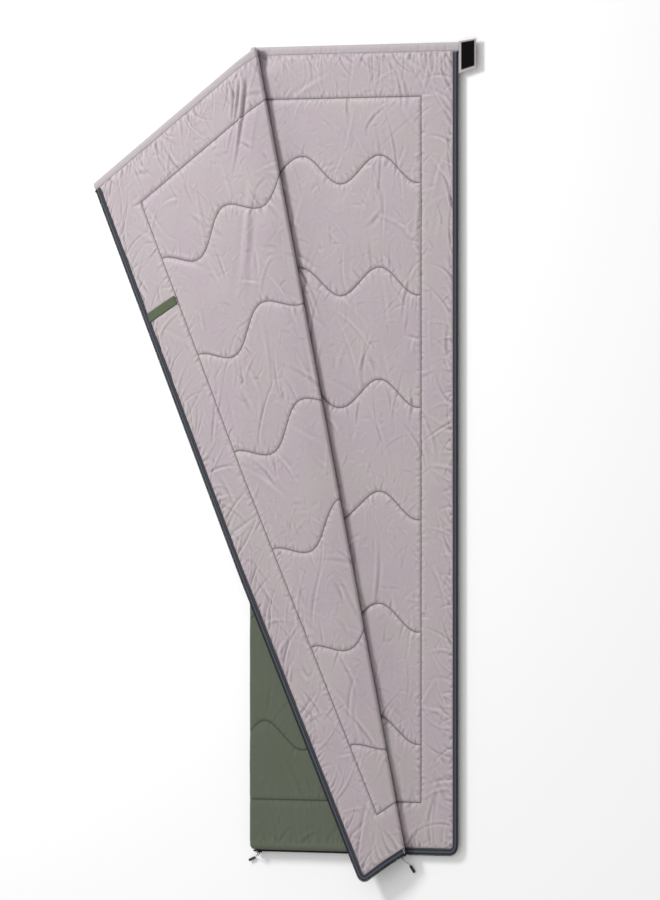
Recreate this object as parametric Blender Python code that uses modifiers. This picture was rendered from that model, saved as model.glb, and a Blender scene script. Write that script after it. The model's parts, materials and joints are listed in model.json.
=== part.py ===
"""A rectangular two-layer camp quilt that zips shut down one side and across the foot.

It lies on its back, closed at the foot, with the upper half folded back over a slanting fold, so
that the lining of both halves shows.  +Y points to the head, +X to the zipped side and +Z up.  The
origin is on the ground under the middle of the closed quilt.  Metres.

The upper half is drawn lying flat on the lower half, as it is cut and sewn.  It is then divided
along the slanting fold, and the empties on the fold axes turn the divided pieces into place.
"""

import math

import bpy
from mathutils import Matrix, Quaternion, Vector

# ---- driving dimensions of the closed quilt ----
LENGTH = 2.20
WIDTH = 0.785
CORNER_RADIUS = 0.032

# ---- one quilted layer, from the outside in ----
SHELL_T = 0.0010
FILL_T = 0.0130
LINING_T = 0.0010
GAP = 0.0003
LAYER = SHELL_T + FILL_T + LINING_T + 2 * GAP
HALVES_GAP = 0.0018
SHELLS_GAP = 0.0004

# ---- edges ----
HEM = 0.025
SHELL_INSET = 0.0060
FILL_INSET = 0.0075

# ---- zip ----
COIL_W = 0.0048
COIL_T = 0.0028
COIL_MEETING_GAP = 0.0004
TAPE_W = 0.0210
STOP_LENGTH = 0.0055
STOP_PROUD = 0.0006

# ---- slanting fold: where it meets the top and the foot, from the left edge ----
FOLD_AT_TOP = 0.0363
FOLD_AT_FOOT = 0.6063
ROLL_SETBACK = 0.0020
FLOOR_CLEARANCE = 0.0020

# ---- sliders and their pulls ----
SLIDER_LENGTH = 0.0150
SLIDER_PLATE = 0.0026
SLIDER_WALL = 0.0014
SLIDER_GAP = 0.0005
SLIDER_HEIGHT = 0.0105
MAIN_SLIDER_FROM_FOLD = 0.0300
FOOT_SLIDER_FROM_SIDE = 0.0290
BAIL_WIRE = 0.0008
BAIL_HEIGHT = 0.0068
BAIL_REACH = 0.0042
LINK_RADIUS = 0.0033
LINK_WIRE = 0.0006
PULL_CORD = 0.0011
PULL_CORD_LENGTH = 0.0220
GRIP_LENGTH = 0.0240
GRIP_WIDTH = 0.0066
GRIP_THICKNESS = 0.0050
MAIN_PULL_HEADING = math.radians(-49)
FOOT_PULL_HEADING = math.radians(-160)

# ---- closing tab at the head end of the zip ----
TAB_T = 0.0015
TAB_REACH = 0.0650
TAB_BELOW_TOP = 0.0860
TAB_ABOVE_TOP = 0.0020
TAB_TOP_RISE = 0.0070
TAB_FOOT_RISE = 0.0140
HOOK_T = 0.0015
HOOK_INSET = 0.0115
HOOK_WIDTH = 0.0470
HOOK_MARGIN = 0.0035
HOOK_FOOT_MARGIN = 0.0115
LOOP_T = 0.0010
LOOP_SIZE = 0.0550
LOOP_INSET = 0.0200

# ---- webbing strap on the lining of the upper half ----
STRAP_LENGTH = 0.1200
STRAP_WIDTH = 0.0260
STRAP_T = 0.0012
STRAP_BELOW_TOP = 0.4410
STRAP_SLANT = math.radians(4.5)

ARC_STEPS = 10
CORD_STEPS = 8
METAL_ROUNDING = 0.0005
GRIP_ROUNDING = 0.0012

# ---- levels and places that follow ----
LEFT = -WIDTH / 2
RIGHT = WIDTH / 2
TOP = LENGTH / 2
FOOT = -LENGTH / 2
MEETING_Z = LAYER + HALVES_GAP / 2
UPPER_Z = LAYER + HALVES_GAP
UPPER_TOP_Z = UPPER_Z + LAYER
FLAP_FOLD_Z = UPPER_TOP_Z + SHELLS_GAP / 2
FLAP_UNDER_Z = UPPER_TOP_Z + SHELLS_GAP
SIDE_ROLL_R = MEETING_Z
FLAP_ROLL_R = FLAP_FOLD_Z - UPPER_Z
FOLD_TOP = Vector((LEFT + FOLD_AT_TOP, TOP, FLAP_FOLD_Z))
FOLD_FOOT = Vector((LEFT + FOLD_AT_FOOT, FOOT, FLAP_FOLD_Z))
FOLD_DIRECTION = (FOLD_TOP - FOLD_FOOT).normalized()
FOLD_NORMAL = Vector((FOLD_DIRECTION.y, -FOLD_DIRECTION.x, 0))
ROLL_CENTRE = FLAP_ROLL_R + ROLL_SETBACK

collection = bpy.data.collections.new("camp_quilt")


def start_empty():
    for old in list(bpy.data.objects):
        bpy.data.objects.remove(old, do_unlink=True)
    bpy.context.scene.collection.children.link(collection)


def finish(name, colour, roughness, metallic=0.0):
    material = bpy.data.materials.new(name)
    material.use_nodes = True
    bsdf = material.node_tree.nodes["Principled BSDF"]
    bsdf.inputs["Base Color"].default_value = (*colour, 1.0)
    bsdf.inputs["Roughness"].default_value = roughness
    bsdf.inputs["Metallic"].default_value = metallic
    material.diffuse_color = (*colour, 1.0)
    return material


SHELL_GREEN = finish("olive_shell", (0.130, 0.145, 0.105), 0.70)
LINING_GREY = finish("greige_lining", (0.535, 0.470, 0.495), 0.55)
FILL_WHITE = finish("white_fill", (0.85, 0.85, 0.83), 0.95)
TAPE_SLATE = finish("slate_zip_tape", (0.085, 0.090, 0.110), 0.80)
COIL_BLACK = finish("black_coil", (0.015, 0.016, 0.020), 0.45)
METAL_BLACK = finish("black_metal", (0.020, 0.020, 0.022), 0.35, 0.8)
HOOK_BLACK = finish("black_hook_tape", (0.008, 0.008, 0.009), 0.90)
CORD_GREY = finish("grey_pull_cord", (0.180, 0.180, 0.190), 0.80)
GRIP_BLACK = finish("black_grip", (0.012, 0.012, 0.013), 0.50)
WEBBING_GREEN = finish("green_webbing", (0.120, 0.160, 0.090), 0.75)


# ---- flat outlines ----


def arc(centre, radius, start, end):
    """Points on a circle, from one angle in degrees to another."""
    points = []
    for step in range(ARC_STEPS + 1):
        angle = math.radians(start + (end - start) * step / ARC_STEPS)
        points.append((centre[0] + radius * math.cos(angle), centre[1] + radius * math.sin(angle)))
    return points


def zipped_edge(inset, left, top):
    """The zipped side and the foot as one path, drawn in from the outer edge by inset."""
    radius = max(CORNER_RADIUS - inset, 0.25 * CORNER_RADIUS)
    centre = (RIGHT - inset - radius, FOOT + inset + radius)
    return [(RIGHT - inset, top)] + arc(centre, radius, 0, -90) + [(left, FOOT + inset)]


def layer_outline(inset, left):
    """A whole half of the quilt below its hem, inset on the zipped side and the foot."""
    top = TOP - HEM - GAP
    return zipped_edge(inset, left, top) + [(left, top)]


def strip_outline(inner, outer, left, top):
    """A strip along the zipped side and the foot."""
    return zipped_edge(outer, left, top) + zipped_edge(inner, left, top)[::-1]


def rectangle(x0, y0, x1, y1):
    return [(x0, y0), (x1, y0), (x1, y1), (x0, y1)]


def cut(outline, point, normal):
    """The part of an outline on the side of a line that its normal points to."""
    kept = []
    for a, b in zip(outline, outline[1:] + outline[:1]):
        side_a = (a[0] - point[0]) * normal[0] + (a[1] - point[1]) * normal[1]
        side_b = (b[0] - point[0]) * normal[0] + (b[1] - point[1]) * normal[1]
        if side_a >= 0:
            kept.append(a)
        if side_a * side_b < 0:
            t = side_a / (side_a - side_b)
            kept.append((a[0] + t * (b[0] - a[0]), a[1] + t * (b[1] - a[1])))
    return kept


def mirrored(point):
    """A point of the flat upper half, as it lies when the flap is folded back."""
    away = (Vector((point[0], point[1], 0)) - FOLD_TOP.to_2d().to_3d()).dot(FOLD_NORMAL)
    return (point[0] - 2 * away * FOLD_NORMAL.x, point[1] - 2 * away * FOLD_NORMAL.y)


# The flap bends down where it passes the folded side: this line, drawn on the flat upper half.
BEND_POINT = mirrored((LEFT, 0.0))
BEND_ABOVE = mirrored((LEFT, 1.0))
BEND_LINE = Vector((BEND_ABOVE[0] - BEND_POINT[0], BEND_ABOVE[1] - BEND_POINT[1], 0)).normalized()
BEND_NORMAL = Vector((-BEND_LINE.y, BEND_LINE.x, 0))
OVERHANG = LEFT - mirrored((RIGHT, TOP))[0]
DROOP = math.asin((FLAP_UNDER_Z - FLOOR_CLEARANCE) / OVERHANG)


def fold_edge(side):
    """The line where a piece stops beside the slanting fold; side is -1 left of it, 1 right."""
    start = FOLD_TOP + side * (ROLL_CENTRE + GAP) * FOLD_NORMAL
    return (start.x, start.y), (side * FOLD_NORMAL.x, side * FOLD_NORMAL.y)


def panel_part(outline):
    return cut(outline, *fold_edge(-1))


def beside_bend(outline, side):
    start = (BEND_POINT[0] + side * GAP / 2 * BEND_NORMAL.x, BEND_POINT[1] + side * GAP / 2 * BEND_NORMAL.y)
    return cut(outline, start, (side * BEND_NORMAL.x, side * BEND_NORMAL.y))


def flap_part(outline):
    return beside_bend(cut(outline, *fold_edge(1)), 1)


def wing_part(outline):
    return beside_bend(cut(outline, *fold_edge(1)), -1)


# ---- solids ----


def slab(name, outline, low, high, material):
    """A flat outline given a thickness, from one level to another."""
    curve = bpy.data.curves.new(name, "CURVE")
    curve.dimensions = "2D"
    curve.fill_mode = "BOTH"
    curve.extrude = (high - low) / 2
    spline = curve.splines.new("POLY")
    spline.points.add(len(outline) - 1)
    for point, (x, y) in zip(spline.points, outline):
        point.co = (x, y, 0, 1)
    spline.use_cyclic_u = True
    curve.materials.append(material)
    solid = bpy.data.objects.new(name, curve)
    solid.location = (0, 0, (low + high) / 2)
    collection.objects.link(solid)
    return solid


def half_tube(name, outer, inner, start, end, outward, material):
    """Half of a tube from start to end, round towards the outward direction."""
    along = (end - start).normalized()
    section = arc((0, 0), outer, 90, -90) + arc((0, 0), inner, -90, 90)
    solid = slab(name, section, 0, (end - start).length, material)
    across = Matrix((outward, along.cross(outward), along)).transposed().to_4x4()
    solid.matrix_world = Matrix.Translation((start + end) / 2) @ across
    return solid


def wire(name, points, radius, material):
    curve = bpy.data.curves.new(name, "CURVE")
    curve.dimensions = "3D"
    curve.bevel_depth = radius
    curve.bevel_resolution = 2
    curve.use_fill_caps = True
    spline = curve.splines.new("POLY")
    spline.points.add(len(points) - 1)
    for point, place in zip(spline.points, points):
        point.co = (*place, 1)
    curve.materials.append(material)
    solid = bpy.data.objects.new(name, curve)
    collection.objects.link(solid)
    return solid


def box(name, low, high, material, bevel=0.0):
    bpy.ops.mesh.primitive_cube_add(size=1)
    solid = bpy.context.object
    solid.name = name
    for other in list(solid.users_collection):
        other.objects.unlink(solid)
    collection.objects.link(solid)
    low = Vector(low)
    high = Vector(high)
    solid.data.transform(Matrix.Diagonal((*(high - low), 1)))
    solid.location = (low + high) / 2
    solid.data.materials.append(material)
    if bevel:
        rounding = solid.modifiers.new("edges", "BEVEL")
        rounding.width = bevel
        rounding.segments = 2
    return solid


def axis_empty(name, place, parent=None):
    empty = bpy.data.objects.new(name, None)
    empty.empty_display_size = 0.05
    empty.location = place
    collection.objects.link(empty)
    if parent:
        hang([empty], parent)
    return empty


def hang(pieces, empty):
    """Parents pieces that are placed as if the empty were not yet turned."""
    for piece in pieces:
        piece.parent = empty
        piece.matrix_parent_inverse = Matrix.Translation(-empty.location)


# ---- the quilt ----

# Each half's pieces stop clear of the rolled side fold.
BESIDE_SIDE_ROLL = LEFT + SIDE_ROLL_R + GAP
ZIP_TOP = TOP - HEM - GAP
COIL_TOP = ZIP_TOP - STOP_LENGTH - GAP


def layer_solids(prefix, part, shell_z, fill_z, lining_z):
    """Shell, fill and lining of one half, or of the part of it that the function part keeps."""
    shell = part(layer_outline(SHELL_INSET, BESIDE_SIDE_ROLL))
    fill = part(layer_outline(FILL_INSET, BESIDE_SIDE_ROLL))
    lining = part(layer_outline(TAPE_W + GAP, BESIDE_SIDE_ROLL))
    return [
        slab(prefix + "_shell", shell, shell_z, shell_z + SHELL_T, SHELL_GREEN),
        slab(prefix + "_fill", fill, fill_z, fill_z + FILL_T, FILL_WHITE),
        slab(prefix + "_lining", lining, lining_z, lining_z + LINING_T, LINING_GREY),
    ]


def zip_solids(prefix, part, tape_z, coil_z):
    """Tape and coil of one side of the zip."""
    tape = part(strip_outline(TAPE_W, COIL_W + GAP, BESIDE_SIDE_ROLL, ZIP_TOP))
    coil = part(strip_outline(COIL_W, 0.0, BESIDE_SIDE_ROLL, COIL_TOP))
    return [
        slab(prefix + "_zip_tape", tape, tape_z, tape_z + LINING_T, TAPE_SLATE),
        slab(prefix + "_zip_coil", coil, coil_z, coil_z + COIL_T, COIL_BLACK),
    ]


def top_stop(name, coil_z):
    """The stop that closes one coil at the head end."""
    low = (RIGHT - COIL_W, ZIP_TOP - STOP_LENGTH, coil_z)
    high = (RIGHT + STOP_PROUD, ZIP_TOP, coil_z + COIL_T)
    return box(name, low, high, METAL_BLACK, METAL_ROUNDING)


def whole(outline):
    return outline


BASE_LINING_Z = LAYER - LINING_T
BASE_COIL_Z = MEETING_Z - COIL_MEETING_GAP / 2 - COIL_T
UPPER_FILL_Z = UPPER_Z + LINING_T + GAP
UPPER_SHELL_Z = UPPER_TOP_Z - SHELL_T
UPPER_COIL_Z = MEETING_Z + COIL_MEETING_GAP / 2


def make_base():
    layer_solids("base", whole, 0.0, SHELL_T + GAP, BASE_LINING_Z)
    zip_solids("base", whole, BASE_LINING_Z, BASE_COIL_Z)
    slab("base_hem", rectangle(BESIDE_SIDE_ROLL, TOP - HEM, RIGHT, TOP), 0.0, LAYER, LINING_GREY)
    top_stop("base_top_stop", BASE_COIL_Z)
    stop_end = BESIDE_SIDE_ROLL - 2 * GAP
    box(
        "zip_end_box",
        (stop_end - STOP_LENGTH, FOOT, BASE_COIL_Z),
        (stop_end, FOOT + COIL_W, UPPER_COIL_Z + COIL_T),
        METAL_BLACK,
        METAL_ROUNDING,
    )


def make_side_fold():
    """The left edge, where one piece of cloth runs round from the lower half to the upper."""
    start = Vector((LEFT + SIDE_ROLL_R, FOOT + SHELL_INSET, MEETING_Z))
    end = Vector((start.x, TOP - HEM - GAP, MEETING_Z))
    outward = Vector((-1, 0, 0))
    fill_outer = SIDE_ROLL_R - SHELL_T - GAP
    lining_outer = fill_outer - FILL_T - GAP
    half_tube("side_fold_shell", SIDE_ROLL_R, SIDE_ROLL_R - SHELL_T, start, end, outward, SHELL_GREEN)
    half_tube("side_fold_fill", fill_outer, fill_outer - FILL_T, start, end, outward, FILL_WHITE)
    half_tube("side_fold_lining", lining_outer, lining_outer - LINING_T, start, end, outward, LINING_GREY)
    hem_start = Vector((start.x, TOP - HEM, MEETING_Z))
    hem_end = Vector((start.x, TOP, MEETING_Z))
    half_tube("side_fold_hem", SIDE_ROLL_R, HALVES_GAP / 2, hem_start, hem_end, outward, LINING_GREY)


def make_panel(side_axis):
    """The corner of the upper half that stays down, shell upwards."""
    pieces = layer_solids("panel", panel_part, UPPER_SHELL_Z, UPPER_FILL_Z, UPPER_Z)
    pieces += zip_solids("panel", panel_part, UPPER_Z, UPPER_COIL_Z)
    hang(pieces, side_axis)


def make_slanting_fold(side_axis):
    """The rolled edge where the flap turns back, lining outwards."""
    centre = FOLD_TOP - ROLL_CENTRE * FOLD_NORMAL
    hem_depth = HEM / FOLD_DIRECTION.y
    slant = ROLL_CENTRE * abs(FOLD_DIRECTION.x)
    start = centre - ((LENGTH - SHELL_INSET) / FOLD_DIRECTION.y - slant) * FOLD_DIRECTION
    end = centre - (hem_depth + GAP) * FOLD_DIRECTION
    fill_outer = FLAP_ROLL_R - LINING_T - GAP
    shell_outer = fill_outer - FILL_T - GAP
    half_tube("flap_fold_lining", FLAP_ROLL_R, FLAP_ROLL_R - LINING_T, start, end, FOLD_NORMAL, LINING_GREY)
    half_tube("flap_fold_fill", fill_outer, fill_outer - FILL_T, start, end, FOLD_NORMAL, FILL_WHITE)
    half_tube("flap_fold_shell", shell_outer, shell_outer - SHELL_T, start, end, FOLD_NORMAL, SHELL_GREEN)
    hem_end = centre - slant * FOLD_DIRECTION
    hem_start = centre - hem_depth * FOLD_DIRECTION
    half_tube("flap_fold_hem", FLAP_ROLL_R, SHELLS_GAP / 2, hem_start, hem_end, FOLD_NORMAL, LINING_GREY)


def make_flap(flap_axis):
    """The part of the upper half that is folded back and lies on the panel."""
    pieces = layer_solids("flap", flap_part, UPPER_SHELL_Z, UPPER_FILL_Z, UPPER_Z)
    pieces += zip_solids("flap", flap_part, UPPER_Z, UPPER_COIL_Z)
    hem = flap_part(rectangle(BESIDE_SIDE_ROLL, TOP - HEM, RIGHT, TOP))
    pieces.append(slab("flap_hem", hem, UPPER_Z, UPPER_TOP_Z, LINING_GREY))
    hang(pieces, flap_axis)


def make_wing(wing_axis):
    """The part of the flap that hangs over the folded side down to the ground."""
    pieces = layer_solids("wing", wing_part, UPPER_SHELL_Z, UPPER_FILL_Z, UPPER_Z)
    pieces += zip_solids("wing", wing_part, UPPER_Z, UPPER_COIL_Z)
    hem = wing_part(rectangle(BESIDE_SIDE_ROLL, TOP - HEM, RIGHT, TOP))
    pieces.append(slab("wing_hem", hem, UPPER_Z, UPPER_TOP_Z, LINING_GREY))
    pieces.append(top_stop("wing_top_stop", UPPER_COIL_Z))
    loop_right = RIGHT - LOOP_INSET
    loop_top = TOP - HEM - GAP
    loop = rectangle(loop_right - LOOP_SIZE, loop_top - LOOP_SIZE, loop_right, loop_top)
    loop_z = UPPER_TOP_Z + GAP
    pieces.append(slab("loop_patch", loop, loop_z, loop_z + LOOP_T, HOOK_BLACK))
    strap_right = RIGHT - TAPE_W - GAP
    strap_z = UPPER_Z - GAP - STRAP_T
    strap = []
    for x, y in rectangle(-STRAP_LENGTH, -STRAP_WIDTH / 2, 0, STRAP_WIDTH / 2):
        turned_x = x * math.cos(STRAP_SLANT) - y * math.sin(STRAP_SLANT)
        turned_y = x * math.sin(STRAP_SLANT) + y * math.cos(STRAP_SLANT)
        strap.append((strap_right + turned_x, TOP - STRAP_BELOW_TOP + turned_y))
    pieces.append(slab("webbing_strap", strap, strap_z, strap_z + STRAP_T, WEBBING_GREEN))
    hang(pieces, wing_axis)


# ---- closing tab ----

TAB_Z = BASE_COIL_Z - GAP
TAB_LEFT = RIGHT + GAP + STOP_PROUD
HOOK_Z = TAB_Z + TAB_T + GAP
FOLDED_HOOK_Z = UPPER_TOP_Z + GAP + LOOP_T + GAP
TAB_AXIS = Vector((TAB_LEFT - GAP, TOP - TAB_BELOW_TOP / 2, (HOOK_Z + HOOK_T + FOLDED_HOOK_Z) / 2))


def make_tab(tab_axis):
    """The tab that wraps over the closed zip end, with its hook patch on top when it lies open."""
    top = TOP + TAB_ABOVE_TOP
    low = TOP - TAB_BELOW_TOP
    tab = [
        (TAB_LEFT, low),
        (TAB_LEFT + TAB_REACH, low + TAB_FOOT_RISE),
        (TAB_LEFT + TAB_REACH, top + TAB_TOP_RISE),
        (TAB_LEFT, top),
    ]
    hook_left = TAB_LEFT + HOOK_INSET
    hook_share = HOOK_WIDTH / TAB_REACH
    hook_low = low + HOOK_FOOT_MARGIN
    hook_top = top - HOOK_MARGIN
    hook = [
        (hook_left, hook_low),
        (hook_left + HOOK_WIDTH, hook_low + hook_share * TAB_FOOT_RISE),
        (hook_left + HOOK_WIDTH, hook_top + hook_share * TAB_TOP_RISE),
        (hook_left, hook_top),
    ]
    hang(
        [
            slab("closing_tab", tab, TAB_Z, TAB_Z + TAB_T, LINING_GREY),
            slab("hook_patch", hook, HOOK_Z, HOOK_Z + HOOK_T, HOOK_BLACK),
        ],
        tab_axis,
    )


# ---- sliders ----

PLATE_BACK = FOOT - SLIDER_GAP
PLATE_FACE = PLATE_BACK - SLIDER_PLATE
BAIL_AXIS_Y = PLATE_FACE - BAIL_REACH


def make_slider(prefix, x):
    """A slider body hooked under the lower coil, with the wire bail that carries its pull."""
    low = BASE_COIL_Z - SLIDER_GAP - SLIDER_WALL
    high = low + SLIDER_HEIGHT
    hook_back = FOOT + COIL_W - SLIDER_WALL
    section = [
        (PLATE_FACE, low),
        (hook_back, low),
        (hook_back, low + SLIDER_WALL),
        (PLATE_BACK, low + SLIDER_WALL),
        (PLATE_BACK, high),
        (PLATE_FACE, high),
    ]
    body = slab(prefix + "_slider_body", section, 0, SLIDER_LENGTH, METAL_BLACK)
    across = Matrix(((0, 1, 0), (0, 0, 1), (1, 0, 0))).transposed().to_4x4()
    body.matrix_world = Matrix.Translation((x, 0, 0)) @ across
    bail_low = (low + high - BAIL_HEIGHT) / 2
    bail_high = bail_low + BAIL_HEIGHT
    root = PLATE_FACE - GAP
    bail = wire(
        prefix + "_slider_bail",
        [(x, root, bail_low), (x, BAIL_AXIS_Y, bail_low), (x, BAIL_AXIS_Y, bail_high), (x, root, bail_high)],
        BAIL_WIRE,
        METAL_BLACK,
    )
    return [body, bail], Vector((x, BAIL_AXIS_Y, (bail_low + bail_high) / 2))


def make_pull(prefix, pivot, heading, slider_axis):
    """Link, cord loop and grip, which swing together about the bail."""
    axis = axis_empty(prefix + "_pull_axis", pivot, slider_axis)
    ahead = Vector((math.cos(heading), math.sin(heading), 0))
    offset = LINK_RADIUS - LINK_WIRE - BAIL_WIRE - GAP
    bpy.ops.mesh.primitive_torus_add(
        major_radius=LINK_RADIUS, minor_radius=LINK_WIRE, major_segments=24, minor_segments=8
    )
    link = bpy.context.object
    link.name = prefix + "_pull_link"
    for other in list(link.users_collection):
        other.objects.unlink(link)
    collection.objects.link(link)
    link.data.materials.append(METAL_BLACK)
    link.data.shade_smooth()
    link.location = pivot + offset * ahead
    cord_start = pivot + (offset + LINK_RADIUS + LINK_WIRE + GAP) * ahead
    grip_z = FLOOR_CLEARANCE + GRIP_THICKNESS / 2
    cord_end = cord_start + PULL_CORD_LENGTH * ahead
    cord_end.z = grip_z
    points = []
    for step in range(CORD_STEPS + 1):
        t = step / CORD_STEPS
        ease = t * t * (3 - 2 * t)
        place = cord_start.lerp(cord_end, t)
        place.z = cord_start.z + (cord_end.z - cord_start.z) * ease
        points.append(place)
    cord = wire(prefix + "_pull_cord", points, PULL_CORD, CORD_GREY)
    grip = box(
        prefix + "_pull_grip",
        (0, -GRIP_WIDTH / 2, -GRIP_THICKNESS / 2),
        (GRIP_LENGTH, GRIP_WIDTH / 2, GRIP_THICKNESS / 2),
        GRIP_BLACK,
        GRIP_ROUNDING,
    )
    grip.data.transform(Matrix.Translation((GRIP_LENGTH / 2, 0, 0)))
    grip.location = cord_end + GAP * ahead
    grip.rotation_euler = (0, 0, heading)
    hang([link, cord, grip], axis)


def make_slider_set(prefix, x, heading):
    pieces, pivot = make_slider(prefix, x)
    slider_axis = axis_empty(prefix + "_slider_axis", (x, FOOT, MEETING_Z))
    hang(pieces, slider_axis)
    make_pull(prefix, pivot, heading, slider_axis)


def main():
    start_empty()
    side_axis = axis_empty("side_fold_axis", (LEFT, 0, MEETING_Z))
    flap_axis = axis_empty("flap_fold_axis", (FOLD_TOP + FOLD_FOOT) / 2, side_axis)
    bend_place = Vector((BEND_POINT[0], BEND_POINT[1], UPPER_TOP_Z))
    wing_axis = axis_empty("wing_bend_axis", bend_place, flap_axis)
    make_base()
    make_side_fold()
    make_panel(side_axis)
    make_slanting_fold(side_axis)
    make_flap(flap_axis)
    make_wing(wing_axis)
    for empty, direction, angle in (
        (flap_axis, FOLD_DIRECTION, math.pi),
        (wing_axis, BEND_LINE, -DROOP),
    ):
        empty.rotation_mode = "QUATERNION"
        empty.rotation_quaternion = Quaternion(direction, angle)
    make_tab(axis_empty("closing_tab_axis", TAB_AXIS))
    make_slider_set("main", FOLD_FOOT.x - MAIN_SLIDER_FROM_FOLD, MAIN_PULL_HEADING)
    make_slider_set("foot", LEFT + FOOT_SLIDER_FROM_SIDE, FOOT_PULL_HEADING)


main()
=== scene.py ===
"""Looks of a two-layer camp quilt that zips down one side and across the foot.

Every cloth is drawn flat, as it is cut, on a grid in the closed quilt's own place.  The quilting
seams hold it down, the fill lifts it, and it is a little too long for its seams, so it puckers.
The upper half is then turned back over the slanting fold.
"""

import json
import math

import bmesh
import bpy
import numpy as np
from mathutils import Matrix, Vector


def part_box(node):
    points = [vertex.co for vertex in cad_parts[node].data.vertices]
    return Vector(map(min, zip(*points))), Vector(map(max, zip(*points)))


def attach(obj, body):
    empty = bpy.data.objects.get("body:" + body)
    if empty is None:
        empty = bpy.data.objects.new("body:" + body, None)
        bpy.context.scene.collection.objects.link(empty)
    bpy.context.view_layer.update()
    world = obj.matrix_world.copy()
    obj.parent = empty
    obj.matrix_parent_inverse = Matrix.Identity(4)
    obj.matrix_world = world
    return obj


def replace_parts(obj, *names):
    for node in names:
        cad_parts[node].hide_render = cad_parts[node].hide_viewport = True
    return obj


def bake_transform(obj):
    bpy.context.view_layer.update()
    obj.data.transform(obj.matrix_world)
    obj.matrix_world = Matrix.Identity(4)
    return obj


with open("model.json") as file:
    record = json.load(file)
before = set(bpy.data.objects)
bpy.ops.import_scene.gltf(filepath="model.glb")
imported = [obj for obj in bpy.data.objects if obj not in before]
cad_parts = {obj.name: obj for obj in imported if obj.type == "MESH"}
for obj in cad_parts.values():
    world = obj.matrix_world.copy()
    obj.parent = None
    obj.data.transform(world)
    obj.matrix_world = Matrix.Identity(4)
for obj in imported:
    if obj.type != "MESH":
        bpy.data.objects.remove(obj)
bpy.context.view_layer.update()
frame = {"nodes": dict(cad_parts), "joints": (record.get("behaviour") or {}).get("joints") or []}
JOINTS = {joint["name"]: joint for joint in frame["joints"]}

# ---- places taken from the frame ----
LEFT = JOINTS["side_fold"]["pos_m"][0]
MEETING_Z = JOINTS["side_fold"]["pos_m"][2]
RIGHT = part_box("base_zip_coil")[1].x
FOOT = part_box("base_zip_coil")[0].y
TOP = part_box("base_hem")[1].y
HEM_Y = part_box("base_hem")[0].y
SIDE_ROLL_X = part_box("base_hem")[0].x
LINING_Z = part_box("base_lining")[1].z
UPPER_LINING_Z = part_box("panel_lining")[0].z
UPPER_SHELL_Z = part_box("panel_shell")[1].z
BASE_TAPE_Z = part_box("base_zip_tape")[0].z
UPPER_TAPE_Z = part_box("panel_zip_tape")[1].z
BASE_COIL_Z = sum(corner.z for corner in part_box("base_zip_coil")) / 2
UPPER_COIL_Z = sum(corner.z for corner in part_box("panel_zip_coil")) / 2
FOLD_POINT = np.array(JOINTS["flap_fold"]["pos_m"])
FOLD_DIRECTION = np.array(JOINTS["flap_fold"]["axis"])
FOLD_NORMAL = np.array([FOLD_DIRECTION[1], -FOLD_DIRECTION[0], 0.0])
FOLD_Z = FOLD_POINT[2]
BEND_Z = JOINTS["wing_bend"]["pos_m"][2]
DROOP = math.radians(JOINTS["wing_bend"]["range_deg"][1])
ROLL_R = FOLD_Z - UPPER_LINING_Z
ROLL_SETBACK = 0.002
ROLL_CENTRE = ROLL_R + ROLL_SETBACK
TAPE_W = 0.0210
COIL_W = 0.0048
CORNER_RADIUS = 0.032

# ---- quilting ----
SEAM_INSET = 0.144
# Width of the painted shade along the seam creases.
PAINTED_SEAM_SHADE_WIDTH = 0.0030
SEAM_U = RIGHT - LEFT - SEAM_INSET
SEAM_Y = TOP - SEAM_INSET
ROWS = 6
FIRST_CREST = 0.799
ROW_SPACING = 0.3043
WAVE_LENGTH = 0.293
WAVE_HEIGHT = 0.0385
WAVE_CREST_U = 0.190
ROW_CREEP = 0.038
ROW_DROP = 0.020
DRIFT_BAND = 0.12

# ---- cloth ----
LINING_STEP = 0.0036
SHELL_STEP = 0.0060
ROLL_STEP = 0.0030
LINING_EDGE = 0.0065
LINING_RELIEF = 0.0068
SHELL_RELIEF = 0.0030
STAND_PROUD = 0.0008
# Depth below the cloth round it at which the painted shade in a crease is full.
CREASE_SHADE_DEPTH = 0.0016


def smooth(value, low, high):
    t = np.clip((value - low) / (high - low), 0, 1)
    return t * t * (3 - 2 * t)


# ---- where the seams run, with u across from the folded side and y along the quilt ----


def row_drift(u):
    """0 on the lower half and 1 on the upper, where the quilted rows have crept."""
    return 1 - smooth(u, -DRIFT_BAND, DRIFT_BAND)


def row_y(u, row):
    crest = FIRST_CREST - row * ROW_SPACING - ROW_DROP * row_drift(u)
    phase = (u - WAVE_CREST_U - ROW_CREEP * row_drift(u)) / WAVE_LENGTH
    return crest - WAVE_HEIGHT + WAVE_HEIGHT * np.cos(2 * np.pi * phase)


def row_slope(u):
    return (row_y(u + 0.0005, 0) - row_y(u - 0.0005, 0)) / 0.001


def seam_distance(u, y):
    beyond_side = np.maximum(np.abs(u) - SEAM_U, 0)
    beyond_end = np.maximum(np.abs(y) - SEAM_Y, 0)
    nearest = np.minimum(
        np.hypot(np.abs(u) - SEAM_U, beyond_end),
        np.hypot(np.abs(y) - SEAM_Y, beyond_side),
    )
    steep = np.sqrt(1 + row_slope(u) ** 2)
    for row in range(ROWS):
        off = np.hypot((y - row_y(u, row)) / steep, beyond_side)
        nearest = np.minimum(nearest, off)
    return nearest


def edge_inset(x, y):
    """How far a point is inside the zipped side and the foot."""
    across = RIGHT - x
    along = y - FOOT
    past_x = np.maximum(CORNER_RADIUS - across, 0)
    past_y = np.maximum(CORNER_RADIUS - along, 0)
    corner = CORNER_RADIUS - np.hypot(past_x, past_y)
    return np.where((past_x > 0) & (past_y > 0), corner, np.minimum(across, along))


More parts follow.
